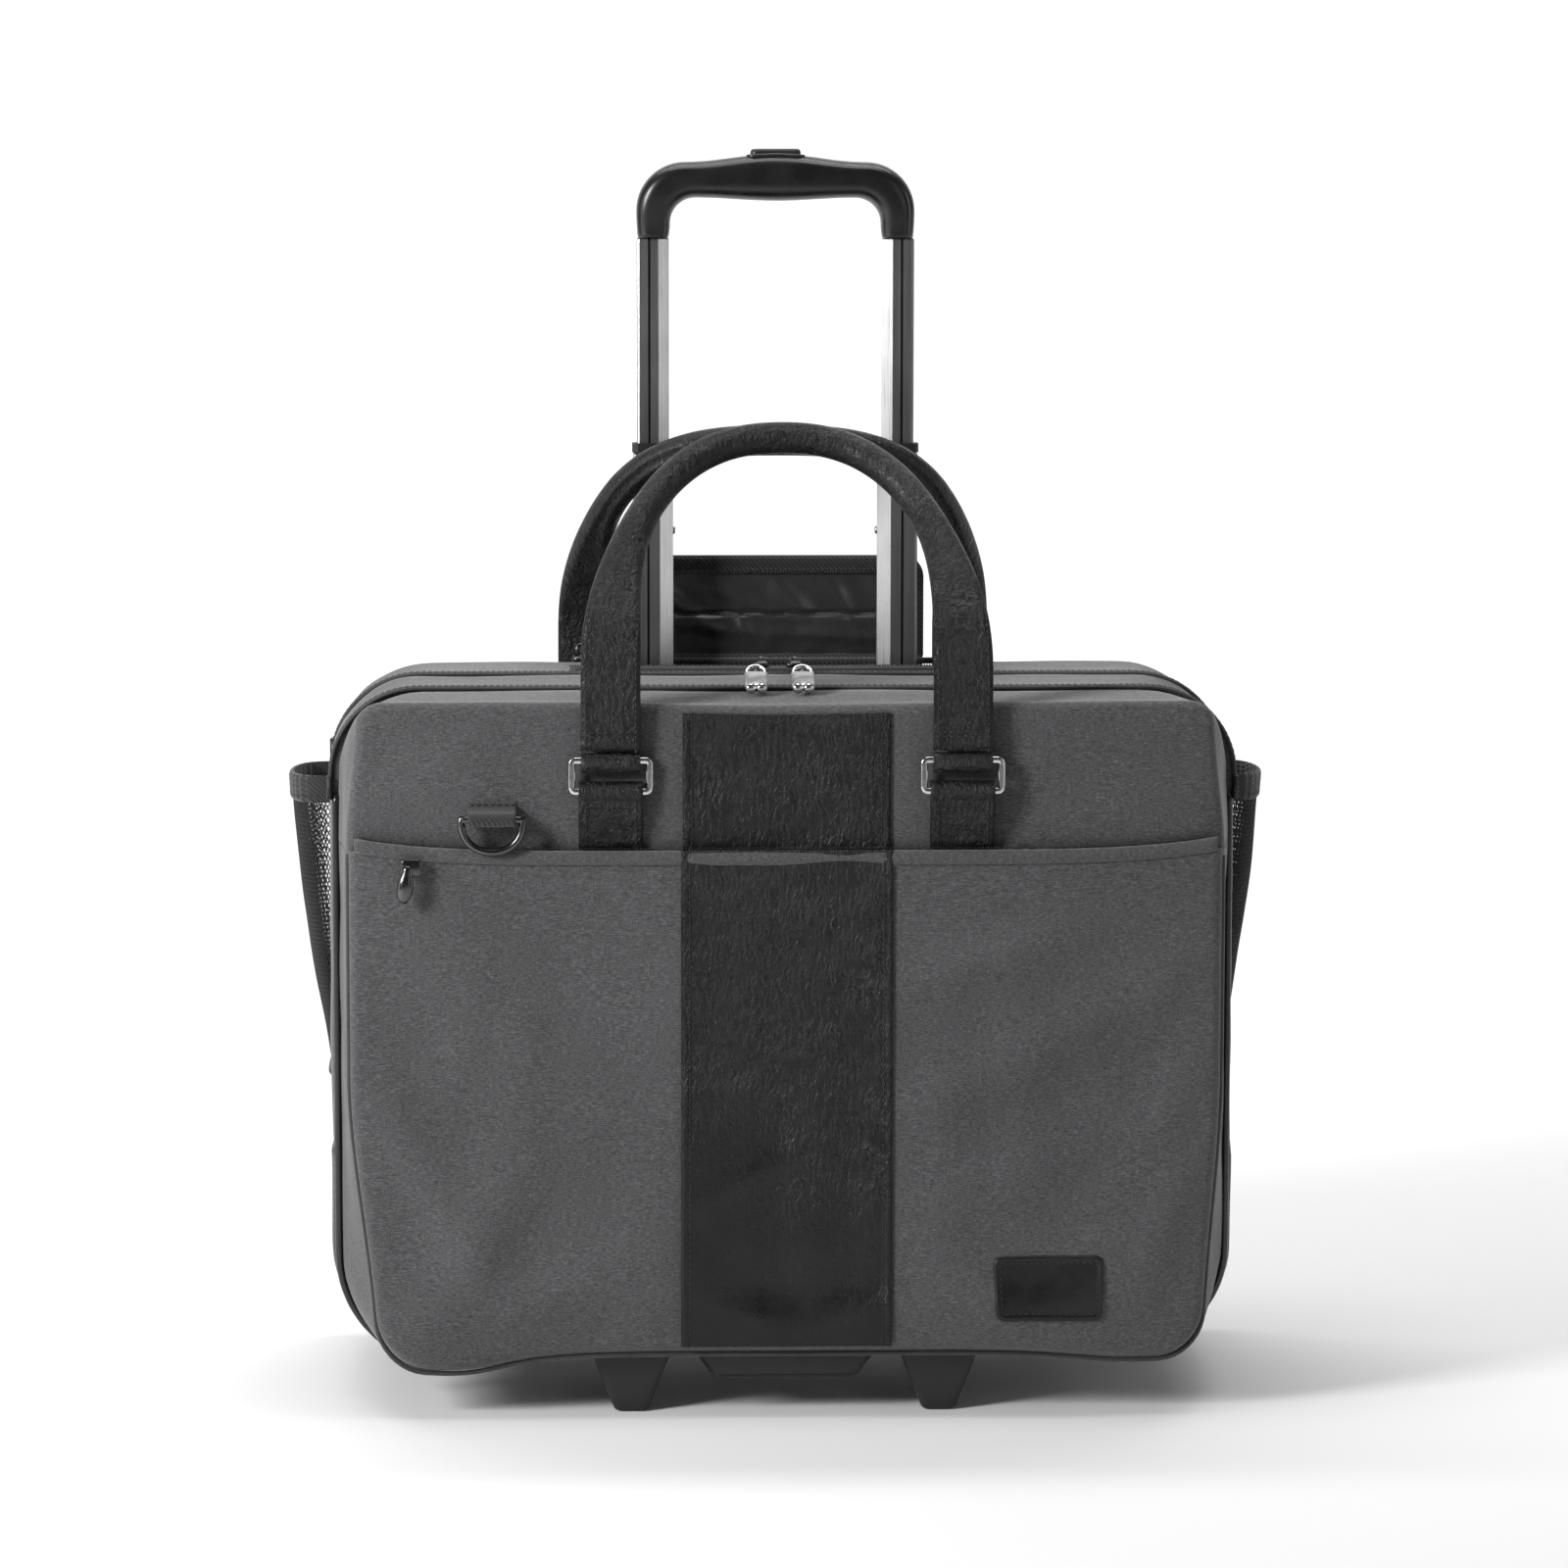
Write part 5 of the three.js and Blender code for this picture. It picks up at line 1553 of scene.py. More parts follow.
# %% [markdown]
# ### Grip
# The grip is a moulded U. Its outer and inner edges are drawn as two curves, and at each
# station the section spans from one to the other, so the bar is deeper than the legs and the
# corners are full. A fine parting line runs along the middle, as on any two-part moulding.
# %% Grip
def grip():
    a, b = low("pull_grip"), high("pull_grip")
    cy = (a.y + b.y) / 2
    half, top = b.x, b.z
    foot = high("inner_tube_left").z + 0.3 * MM
    leg = 17.4 * MM
    outer_r, inner_r = 25 * MM, 13 * MM
    shoulder, under = top - 4 * MM, top - 22.4 * MM
    outer, inner = [], []
    for i in range(7):
        t = i / 7
        outer.append((half - 0.8 * MM * (1 - t) ** 2, foot + (shoulder - outer_r - foot) * t))
        inner.append((half - leg + 0.8 * MM * (1 - t) ** 2, foot + (under - inner_r - foot) * t))
    for i in range(15):
        t = math.pi / 2 * i / 14
        outer.append((half - outer_r + outer_r * math.cos(t), shoulder - outer_r + outer_r * math.sin(t)))
        inner.append((half - leg - inner_r + inner_r * math.cos(t),
                      under - inner_r + inner_r * math.sin(t)))
    outer_end, inner_end = half - outer_r, half - leg - inner_r
    for i in range(1, 17):
        t = i / 16
        hump = 0.5 - 0.5 * math.cos(math.pi * t)
        outer.append((outer_end * (1 - t), shoulder + (top - shoulder) * hump))
        inner.append((inner_end * (1 - t), under - 1.6 * MM * hump))
    pairs = list(zip(outer, inner))
    pairs += [((-ox, oz), (-ix, iz)) for (ox, oz), (ix, iz) in reversed(pairs[:-1])]
    rings = []
    n = len(pairs)
    for i, ((ox, oz), (ix, iz)) in enumerate(pairs):
        c = Vector(((ox + ix) / 2, cy, (oz + iz) / 2))
        u = Vector((ox - ix, 0, oz - iz)) / 2
        end = min(i, n - 1 - i)
        depth = (9.8 + 2.6 * smooth(end / 16)) * MM
        ring = []
        for k in range(64):
            t = 2 * math.pi * k / 64
            q, s = math.cos(t), math.sin(t)
            line = 1 - 0.028 * (abs(s) < 0.05)
            ring.append(c + u * (squarer(q, 0.62) * line)
                        + Vector((0, depth * squarer(s, 0.72), 0)))
        rings.append(ring)
    first = rings[0]
    centre = sum(first, Vector()) / len(first)
    lip = [centre + (p - centre) * 0.94 - Vector((0, 0, 0.2 * MM)) for p in first]
    last = rings[-1]
    centre = sum(last, Vector()) / len(last)
    lip_end = [centre + (p - centre) * 0.94 - Vector((0, 0, 0.2 * MM)) for p in last]
    obj = loft("grip_moulding", [lip] + rings + [lip_end], [GRIP])
    carry(obj, "upper_stage", "plastic", "pull_grip")


grip()


def button():
    a, b = low("release_button"), high("release_button")
    cy = (a.y + b.y) / 2
    seat = high("pull_grip").z
    rings = []
    for z, inset in ((seat - 7 * MM, 0.0), (b.z - 1.6 * MM, 0.0), (b.z - 0.9 * MM, 0.25),
                     (b.z - 0.3 * MM, 0.9), (b.z - 0.05 * MM, 2.0), (b.z - 0.4 * MM, 4.0)):
        d = inset * MM
        ring = rounded(12.8 * MM - d, -6.6 * MM + d, 6.6 * MM - d, 2.6 * MM, 2.6 * MM, 64)
        rings.append([Vector((x, cy + y, z)) for x, y in ring])
    obj = loft("release_button_cap", rings, [MOULDED])
    carry(obj, "release_button", "plastic", "release_button")
    rim = rounded(14.2 * MM, -8 * MM, 8 * MM, 3.4 * MM, 3.4 * MM, 72)
    collar_z = seat - 0.6 * MM
    frame_path = [Vector((x, cy + y, collar_z - 3.0 * MM * (abs(x) / (60 * MM)))) for x, y in rim]
    rim_obj = sweep("button_surround", frame_path, 1.0 * MM, [GRIP], sides=10, closed=True)
    carry(rim_obj, "upper_stage", "plastic")


button()

# %% [markdown]
# Small studs on the inner faces of the lower tubes stop the stages from rattling: a spring
# pin that clicks into a hole at full height.
# %% Latch studs
for side, s in SIDES:
    t = low(f"middle_tube_{side}"), high(f"middle_tube_{side}")
    x = (t[0].x + t[1].x) / 2 - s * (t[1].x - t[0].x) / 2
    y = (t[0].y + t[1].y) / 2
    z = t[1].z - 40 * MM
    stud = sweep(f"latch_stud_{side}", [Vector((x + s * 1.0 * MM, y, z)),
                                        Vector((x - s * 0.5 * MM, y, z)),
                                        Vector((x - s * 1.2 * MM, y, z))],
                 lambda q: (2.2 - 0.8 * (q > 0.9)) * MM, [STEEL], sides=20)
    carry(stud, "lower_stage", "steel")

# %% [markdown]
# ### Flap over the handle bay
# A flap closes the bay that the handle sinks into. It stands open behind the tubes: shiny
# nylon on the side that shows, cloth on the back, a bound edge, and half of a zip sewn under
# the binding. The nylon is cut too large for the flap, which is what folds it.
# %% Flap
FLAP_FOLDS = [(-0.070, 0.398, -0.030, 0.372, 2.2 * MM, 4 * MM),
              (-0.040, 0.398, 0.004, 0.378, 1.6 * MM, 4 * MM),
              (0.000, 0.398, 0.020, 0.376, 2.0 * MM, 5 * MM),
              (0.030, 0.396, 0.045, 0.372, 1.8 * MM, 4 * MM),
              (0.050, 0.398, 0.070, 0.374, 1.8 * MM, 5 * MM),
              (-0.060, 0.376, 0.000, 0.369, 1.2 * MM, 4 * MM),
              (0.000, 0.370, 0.070, 0.366, 1.2 * MM, 3 * MM),
              (-0.02, 0.384, -0.012, 0.366, 1.0 * MM, 3 * MM)]


def flap():
    a, b = low("handle_flap"), high("handle_flap")
    half = b.x
    bind = 8.5 * MM
    nx, nz = 130, 56

    def sheet_points(y, lift):
        verts = []
        for j in range(nz + 1):
            z = a.z + (b.z - a.z - 1 * MM) * j / nz
            corner = max(z - (b.z - 12 * MM), 0.0)
            width = half - 12 * MM + math.sqrt(max((12 * MM) ** 2 - corner ** 2, 0.0)) - 0.8 * MM
            for i in range(nx + 1):
                x = (2 * i / nx - 1) * width
                verts.append(Vector((x, y + lift(x, z), z)))
        return verts

    def folds(x, z):
        inside = smooth(min((half - abs(x)) / (14 * MM), (b.z - bind - z) / (6 * MM),
                            (z - a.z) / (6 * MM) + 0.2, 1.0))
        seam = 1.6 * MM * math.exp(-((z - a.z - 22 * MM) / (1.4 * MM)) ** 2)
        cloth = crease(x, z, FLAP_FOLDS) + 1.0 * MM * ripple((x, 0.0, z * 0.6), 70, 2.2)
        return -(cloth * inside) * 0.8 + seam * inside

    faces = grid_faces(nx, nz)
    front = mesh_object("flap_lining", sheet_points(a.y + 0.9 * MM, folds), faces, [LINING])
    add_modifier(front, "SOLIDIFY", thickness=0.5 * MM, offset=0.0)
    baked(front)
    carry(front, "handle_flap", "lining", "handle_flap")
    back = mesh_object("flap_cloth", sheet_points(b.y - 1.0 * MM, lambda x, z: 0.4 * MM * ripple(
        (x, 0.0, z), 30, 5.0)), faces, [CLOTH])
    add_modifier(back, "SOLIDIFY", thickness=1.0 * MM, offset=0.0)
    baked(back)
    carry(back, "handle_flap", "melange_fabric")

    def rim(inset, y):
        """The flap's outline, up one side, over its rounded top and down the other."""
        r = 12 * MM
        steps = 12
        points = [(-half + inset, a.z + 0.5 * MM + (b.z - r - a.z) * i / steps)
                  for i in range(steps)]
        for i in range(steps + 1):
            t = math.pi - math.pi / 2 * i / steps
            points.append((-half + r + (r - inset) * math.cos(t), b.z - r + (r - inset) * math.sin(t)))
        points += [(-half + r + 2 * (half - r) * i / 30, b.z - inset) for i in range(1, 30)]
        for i in range(steps + 1):
            t = math.pi / 2 - math.pi / 2 * i / steps
            points.append((half - r + (r - inset) * math.cos(t), b.z - r + (r - inset) * math.sin(t)))
        points += [(half - inset, b.z - r - (b.z - r - a.z) * i / steps)
                   for i in range(1, steps + 1)]
        return [Vector((x, y, max(z, a.z + 0.5 * MM))) for x, z in points]

    outer, inner = rim(0.6 * MM, 0), rim(bind, 0)
    rings = []
    for o, n in zip(outer, inner):
        front_y, back_y = a.y + 0.1 * MM, b.y - 0.1 * MM
        mid = (front_y + back_y) / 2
        rings.append([Vector((n.x, front_y + 0.5 * MM, n.z)), Vector((n.x * 0.995, front_y, n.z)),
                      Vector((o.x * 0.997, front_y + 0.1 * MM, o.z - 0.3 * MM)),
                      Vector((o.x, mid, o.z)),
                      Vector((o.x * 0.997, back_y, o.z - 0.3 * MM)),
                      Vector((n.x, back_y, n.z))])
    binding = loft("flap_binding", rings, [WEBBING])
    carry(binding, "handle_flap", "lining")

    def sewn(inset, y):
        return [(p, (0, 1, 0)) for p in rim(inset, y) if p.z > a.z + 7 * MM]

    coil = sewn(bind + 1.2 * MM, a.y + 0.5 * MM)
    teeth = set_out("flap_coil", [coil], 1.35 * MM, (0.85 * MM, 1.5 * MM, 2.6 * MM), COIL)
    carry(teeth, "handle_flap", "plastic")
    seam = sewn(bind - 2.0 * MM, a.y + 0.1 * MM)
    edge = sewn(2.6 * MM, a.y + 0.1 * MM)
    carry(stitches("flap_stitches", [seam, edge]), "handle_flap", "lining")
    return front, (2 * half, b.z - a.z)


def flap_hinge():
    """The flap is sewn to the bag along a strip of webbing, which is its hinge."""
    a, b = low("handle_flap"), high("handle_flap")
    y = (a.y + b.y) / 2
    half = b.x - 1 * MM
    profile = ((-1.4, -9), (-1.7, -3), (-1.5, 0.9), (0, 1.9), (1.5, 0.9), (1.7, -3), (1.4, -9))
    rings = [[Vector((-half + 2 * half * i / 40, y + dy * MM, a.z + dz * MM))
              for dy, dz in profile] for i in range(41)]
    carry(loft("flap_hinge_webbing", rings, [WEBBING]), "rear_section", "lining")


flap_hinge()
flap_lining, flap_size = flap()

# %% [markdown]
# ## Wheels, feet and skid plate
# Each wheel is a lathed tyre with tread grooves on a hub with six spokes. The spokes and the
# wheel screws are the parts that the frame's solids leave out. The tyre is spun from its
# section, and the grooves are cut in by moving every few points of the tread inwards.
# %% Wheels
def lathe_x(name, centre, profile, materials, steps=96, dent=None):
    """A ring of a profile of (radius, offset along x) spun about the X axis."""
    rings = []
    for i in range(steps):
        t = 2 * math.pi * i / steps
        ring_points = []
        for r, x in profile:
            q = r - (dent(i, r) if dent else 0.0)
            ring_points.append(centre + Vector((x, q * math.cos(t), q * math.sin(t))))
        rings.append(ring_points)
    return loft(name, rings, materials, closed_run=True)


def wheel(side, s):
    a, b = low(f"tyre_{side}"), high(f"tyre_{side}")
    centre = (a + b) / 2
    radius, half = (b.z - a.z) / 2, (b.x - a.x) / 2
    rim = radius - 7 * MM
    body = f"wheel_{side}"

    def tread(i, r):
        return 0.7 * MM if i % 8 == 0 and r > radius - 1.5 * MM else 0.0

    section = [(rim, -half), (rim + 1 * MM, -half), (radius - 4.5 * MM, -half),
               (radius - 2.6 * MM, -half + 0.8 * MM), (radius - 0.9 * MM, -half + 2.4 * MM),
               (radius - 0.2 * MM, -half + 4.4 * MM), (radius, -2.4 * MM), (radius - 0.1 * MM, -1.4 * MM),
               (radius - 1.1 * MM, -1.0 * MM), (radius - 1.1 * MM, 1.0 * MM),
               (radius - 0.1 * MM, 1.4 * MM), (radius, 2.4 * MM), (radius - 0.2 * MM, half - 4.4 * MM),
               (radius - 0.9 * MM, half - 2.4 * MM), (radius - 2.6 * MM, half - 0.8 * MM),
               (radius - 4.5 * MM, half), (rim, half)]
    tyre = lathe_x(f"wheel_tyre_{side}", centre, section, [RUBBER], 192, tread)
    carry(tyre, body, "rubber", f"tyre_{side}")

    r = rim - 0.2 * MM
    web = 2.2 * MM
    felloe = [(r, -half), (r, half), (r - 2.2 * MM, half - 0.2 * MM), (r - 3.4 * MM, half - 2 * MM),
              (r - 3.6 * MM, web), (r - 3.6 * MM, -web), (r - 3.4 * MM, -half + 2 * MM),
              (r - 2.2 * MM, -half + 0.2 * MM)]
    hub_rim = lathe_x(f"wheel_rim_{side}", centre, felloe, [MOULDED])
    carry(hub_rim, body, "plastic", f"hub_{side}")
    boss = half + 1.4 * MM
    core = [(4.35 * MM, -boss), (8.4 * MM, -boss), (9.0 * MM, -boss + 0.6 * MM),
            (9.4 * MM, -web), (9.4 * MM, web), (9.0 * MM, boss - 0.6 * MM), (8.4 * MM, boss),
            (4.35 * MM, boss)]
    carry(lathe_x(f"wheel_boss_{side}", centre, core, [MOULDED]), body, "plastic")
    plate = [(9.0 * MM, -1.0 * MM), (r - 3.0 * MM, -1.0 * MM), (r - 3.0 * MM, 1.0 * MM),
             (9.0 * MM, 1.0 * MM)]
    carry(lathe_x(f"wheel_web_{side}", centre, plate, [MOULDED]), body, "plastic")
    verts, faces = [], []
    for k in range(6):
        t = math.pi * k / 3
        radial = Vector((0, math.cos(t), math.sin(t)))
        aside = Vector((0, -math.sin(t), math.cos(t)))
        start = len(verts)
        for q in (8.6 * MM, r - 3.2 * MM):
            for x, w in ((-5.2, 0.9), (-4.6, 1.6), (4.6, 1.6), (5.2, 0.9), (5.2, -0.9),
                         (4.6, -1.6), (-4.6, -1.6), (-5.2, -0.9)):
                verts.append(centre + radial * q + aside * (w * MM) + Vector((x * MM, 0, 0)))
        faces += loft_faces(2, 8, start=start)
        faces.append(tuple(start + i for i in reversed(range(8))))
        faces.append(tuple(start + 8 + i for i in range(8)))
    spokes = outward(mesh_object(f"wheel_spokes_{side}", verts, faces, [MOULDED], smooth=False))
    carry(spokes, body, "plastic")
    for end in (-1, 1):
        x0 = centre.x + end * 20.6 * MM
        head = sweep(f"axle_head_{side}_{'in' if end * s < 0 else 'out'}",
                     [Vector((x0, centre.y, centre.z)), Vector((x0 + end * 0.9 * MM, centre.y, centre.z)),
                      Vector((x0 + end * 1.5 * MM, centre.y, centre.z))],
                     lambda q: (6.0 - 1.6 * (q > 0.9)) * MM, [STEEL], sides=28)
        carry(head, "rear_section", "steel")


for side, s in SIDES:
    wheel(side, s)
    moulded(f"axle_{side}", STEEL, 0.3 * MM)
    moulded(f"wheel_housing_{side}", MOULDED, 1.2 * MM)

# %% [markdown]
# The housings carry ribs where they meet the bag and the screws that hold them to its base
# board. Ribs and screws are placed by loops along each housing's sides.
# %% Housing ribs and screws
def block_mesh(name, lo, hi, ease, material):
    """A box with eased edges, as one rounded outline lofted in depth."""
    cx, cz = (lo.x + hi.x) / 2, (lo.z + hi.z) / 2
    hx, hz = (hi.x - lo.x) / 2, (hi.z - lo.z) / 2
    rings = []
    for y, inset in ((lo.y, ease), (lo.y + ease * 0.3, ease * 0.3), (lo.y + ease, 0.0),
                     (hi.y - ease, 0.0), (hi.y - ease * 0.3, ease * 0.3), (hi.y, ease)):
        r = max(min(hx, hz) * 0.45 - inset, ease * 0.4)
        rings.append([Vector((cx + x, y, cz + z))
                      for x, z in rounded(hx - inset, -hz + inset, hz - inset, r, r, 40)])
    return loft(name, rings, [material])


for side, s in SIDES:
    a, b = low(f"wheel_housing_{side}"), high(f"wheel_housing_{side}")
    cx = (a.x + b.x) / 2
    rise = b.z - HOUSING_RISE
    flange = [Vector((a.x, REAR_Y - 1 * MM, BASE_Z + 6 * MM + (rise - BASE_Z - 6 * MM) * i / 12))
              for i in range(12)]
    flange += [Vector((a.x + (b.x - a.x) * i / 12, REAR_Y - 0.6 * MM, rise + 0.6 * MM))
               for i in range(13)]
    flange += [Vector((p.x + b.x - a.x, p.y, p.z)) for p in reversed(flange[:12])]
    edge = sweep(f"housing_flange_{side}", flange, 2.0 * MM, [MOULDED], sides=12)
    carry(edge, "rear_section", "plastic")
    for k in range(3):
        z = b.z - (30 - 9 * k) * MM
        out = 0.6 if z < b.z - 26 * MM else -1.6
        rib = block_mesh(f"housing_rib_{side}_{k}", Vector((cx - 17 * MM, b.y - 4 * MM, z)),
                         Vector((cx + 17 * MM, b.y + out * MM, z + 3 * MM)),
                         0.5 * MM, MOULDED)
        carry(rib, "rear_section", "plastic")
    for dx in (-15, 15):
        x = cx + dx * MM
        y = a.y + 8 * MM
        screw = sweep(f"housing_screw_{side}_{'a' if dx < 0 else 'b'}",
                      [Vector((x, y, BASE_Z - 3.4 * MM)), Vector((x, y, BASE_Z - 1.6 * MM)),
                       Vector((x, y, BASE_Z + 1 * MM))],
                      lambda q: (3.4 - 0.9 * (q < 0.1)) * MM, [STEEL], sides=24)
        carry(screw, "rear_section", "steel")

# %% [markdown]
# The two front feet are hollow wedges that taper to a narrow pad, and the skid plate
# between them protects the cloth on stairs. Both are moulded, so their edges are rounded and
# the skid plate has shallow runners.
# %% Feet and skid plate
def wedge(name, node, body, ribs=0):
    a, b = low(node), high(node)
    cx = (a.x + b.x) / 2
    half = (b.x - a.x) / 2
    pad = half * (0.4 if ribs == 0 else 0.78)
    y0, y1 = a.y, b.y
    rings = []
    levels = [(b.z, 0.0, 0.0), (b.z - 0.8 * MM, 0.0, 0.0)]
    steps = 10
    for i in range(1, steps):
        levels.append((b.z - (b.z - a.z) * i / steps, i / steps, 0.0))
    levels += [(a.z + 1.4 * MM, 0.96, 0.0), (a.z + 0.5 * MM, 1.0, 0.5 * MM), (a.z, 1.0, 1.4 * MM)]
    for z, t, inset in levels:
        w = half + (pad - half) * t - inset
        lean = 2.0 * MM * t
        r = 3.2 * MM
        hy = (y1 - y0) / 2 - inset - lean * 0.5
        outline = rounded(w, -hy, hy, min(r, w * 0.6), min(r, w * 0.6), 64)
        rings.append([Vector((cx + x, (y0 + y1) / 2 + y, z)) for x, y in outline])
    obj = loft(name, rings, [MOULDED])
    carry(obj, body, "plastic", node)
    for k in range(ribs):
        x = cx + (k - (ribs - 1) / 2) * 13 * MM
        rib = block_mesh(f"{name}_runner_{k}", Vector((x - 1.6 * MM, y0 + 6 * MM, a.z - 0.6 * MM)),
                         Vector((x + 1.6 * MM, y1 - 6 * MM, a.z + 3.0 * MM)), 0.5 * MM, MOULDED)
        carry(rib, body, "plastic")


for side, s in SIDES:
    wedge(f"foot_{side}", f"front_foot_{side}", "front_section")
wedge("skid_moulding", "skid_plate", "front_section", ribs=5)
moulded("base_board", PADDING, 0.6 * MM)

# %% [markdown]
# ## Mesh side pockets
# Each side has an open pocket of knitted net with an elastic top. The net is real here:
# crossing yarns laid over the pocket's bulge as a lattice of edges, which a node tree turns
# into thin tubes. A band of gathered elastic and a bound edge hold it to the bag.
# %% The net's node tree
def yarn_tree():
    tree = new_tree("yarn_from_edges", Radius="Float", Finish="Material")
    new = tree.nodes.new
    given, result = new("NodeGroupInput"), new("NodeGroupOutput")
    curve, circle = new("GeometryNodeMeshToCurve"), new("GeometryNodeCurvePrimitiveCircle")
    circle.inputs["Resolution"].default_value = 5
    skin = new("GeometryNodeCurveToMesh")
    real, paint = new("GeometryNodeRealizeInstances"), new("GeometryNodeSetMaterial")
    wire(tree,
         (given, "Geometry", curve, "Mesh"), (curve, "Curve", skin, "Curve"),
         (given, "Radius", circle, "Radius"), (circle, "Curve", skin, "Profile Curve"),
         (skin, "Mesh", real, "Geometry"), (real, "Geometry", paint, "Geometry"),
         (given, "Finish", paint, "Material"), (paint, "Geometry", result, "Geometry"))
    return tree


YARN = yarn_tree()
print(len(YARN.nodes), "nodes in", YARN.name)

# %% [markdown]
# The pocket stands out like half a barrel: closed at its foot, open at the top. One
# function gives the place of any point of it, and the net, the elastic band, the binding
# and the stitches are all laid on that shape.
# %% Mesh pockets
def mesh_pocket(side, s):
    a, b = low(f"mesh_pocket_{side}"), high(f"mesh_pocket_{side}")
    z0, z1 = a.z, b.z
    y0, y1 = a.y, b.y
    reach_top = (b.x - a.x) - 1.0 * MM
    base = BODY_HALF - 0.5 * MM

    def reach(z):
        t = (z - z0) / (z1 - z0)
        return reach_top * (0.10 + 0.90 * (1 - (1 - t) ** 1.6))

    def spot(u, z, lift=0.0):
        angle = math.pi * u
        y = (y0 + y1) / 2 - (y1 - y0) / 2 * math.cos(angle)
        bulge = math.sin(angle) ** 0.5 * reach(z)
        wave = 0.8 * MM * math.sin(angle) * ripple((0, y, z), 26, 3.0 + s)
        return Vector((s * (base + bulge + wave + lift), y, z))

    across, up = 46, 62
    band_z = z1 - 14 * MM
    lines = []
    for way in (-1, 1):
        for k in range(-up, across + up):
            line = []
            for j in range(up + 1):
                u = (k + way * j * 0.5 + (up * 0.5 if way < 0 else 0)) / across
                if 0.004 <= u <= 0.996:
                    line.append(spot(u, z0 + (band_z + 1 * MM - z0) * j / up))
            if len(line) > 2:
                lines.append(line)
    net = grow(chains(f"pocket_net_{side}", lines), YARN, Radius=0.33 * MM, Finish=NET)
    carry(net, "rear_section", "mesh_net", f"mesh_pocket_{side}")

    steps = 60
    rings = []
    for i in range(steps + 1):
        u = i / steps
        gather = 0.5 * MM * math.sin(u * 90)
        ring_points = []
        for z, lift in ((band_z, 0.4), (band_z + 1.2 * MM, 1.2), (z1 - 2 * MM, 1.5),
                        (z1 - 0.4 * MM, 0.9), (z1, 0.2), (z1 - 0.4 * MM, -0.7),
                        (band_z + 1.2 * MM, -0.8), (band_z, -0.2)):
            ring_points.append(spot(u, z) + Vector((s * (lift * MM + gather * (0 < u < 1)), 0, 0)))
        rings.append(ring_points)
    band = loft(f"pocket_band_{side}", rings, [WEBBING])
    carry(band, "rear_section", "mesh_net")
    rim = [spot(0.0, z1 - (z1 - z0) * i / 20) for i in range(21)]
    rim += [spot(i / 30, z0, 0.3 * MM) for i in range(1, 30)]
    rim += [spot(1.0, z0 + (z1 - z0) * i / 20) for i in range(21)]
    edge = sweep(f"pocket_binding_{side}", rim, 2.4 * MM, [WEBBING], sides=10)
    carry(edge, "rear_section", "lining")
    rows = [[(spot(0.04 + 0.92 * i / 40, band_z + 3 * MM) + Vector((s * 1.5 * MM, 0, 0)), (s, 0, 0))
             for i in range(41)]]
    carry(stitches(f"pocket_stitches_{side}", rows), "rear_section", "lining")


for side, s in SIDES:
    mesh_pocket(side, s)

# %% [markdown]
# ## Zip sliders
# The front zip has two lock pulls: a brushed block hanging from a round shackle, with two
# polished studs at its end. The laptop zip has two slim pulls, the trolley zip a small ring
# pull, and the pocket zip a stubby barrel. Each slider is a few small lofts joined into one
# piece, because they are one casting that moves as one.
# %% Sliders
def joined(name, parts):
    """Several meshes as one object, with each part's finish kept."""
    materials = []
    verts, faces, marks = [], [], []
    for part in parts:
        start = len(verts)
        verts += [v.co.copy() for v in part.data.vertices]
        for polygon in part.data.polygons:
            faces.append(tuple(start + i for i in polygon.vertices))
            material = part.data.materials[polygon.material_index]
            if material not in materials:
                materials.append(material)
            marks.append(materials.index(material))
        bpy.data.objects.remove(part)
    obj = mesh_object(name, verts, faces, materials)
    for polygon, mark in zip(obj.data.polygons, marks):
        polygon.material_index = mark
    return obj


def slab(corners, thick, material, ease=0.5 * MM):
    """A plate with four (y, z) corners in section and a width given by corners' x range."""
    (x0, x1), (y0, z0), (y1, z1) = corners
    along = Vector((0, y1 - y0, z1 - z0))
    length = along.length
    along.normalize()
    up = Vector((1, 0, 0)).cross(along)
    if up.z < 0:
        up = -up
    base = Vector(((x0 + x1) / 2, y0, z0))
    half = (x1 - x0) / 2
    rings = []
    for h, inset in ((0, ease), (ease * 0.4, ease * 0.3), (ease, 0), (thick - ease, 0),
                     (thick - ease * 0.4, ease * 0.3), (thick, ease)):
        outline = rounded(half - inset, inset, length - inset, 1.6 * MM, 1.6 * MM, 48)
        rings.append([base + Vector((x, 0, 0)) + along * z + up * h for x, z in outline])
    return loft("part", rings, [material])


def zip_body(x, y, z, half, reach, material):
    """The cast body that straddles the coil, with a bridge over it for the pull."""
    rings = []
    for h, spread in ((0.2, -0.4), (0.7, 0.0), (1.9, 0.0), (2.6, -0.5), (2.8, -1.1)):
        deep = reach + spread * MM
        outline = rounded(half + spread * MM, -deep, deep, 2 * MM, 2 * MM, 40)
        rings.append([Vector((x + q * (1 - 0.25 * (w > 0)), y + w, z + h * MM)) for q, w in outline])
    body = loft("part", rings, [material])
    arch = [Vector((x, y - (reach - 1 * MM) + 2 * (reach - 1 * MM) * i / 12,
                    z + (2.4 + 2.9 * math.sin(math.pi * i / 12)) * MM)) for i in range(13)]
    return [body, sweep("part", arch, 0.75 * MM, [material], sides=10)]


def shackle(x, y, z, radius, wire, tilt, material):
    ring = []
    for i in range(36):
        t = 2 * math.pi * i / 36
        ring.append(Vector((x + radius * math.cos(t), y + radius * math.sin(t) * math.cos(tilt),
                            z + radius * math.sin(t) * math.sin(tilt))))
    return sweep("part", ring, wire, [material], sides=10, closed=True)


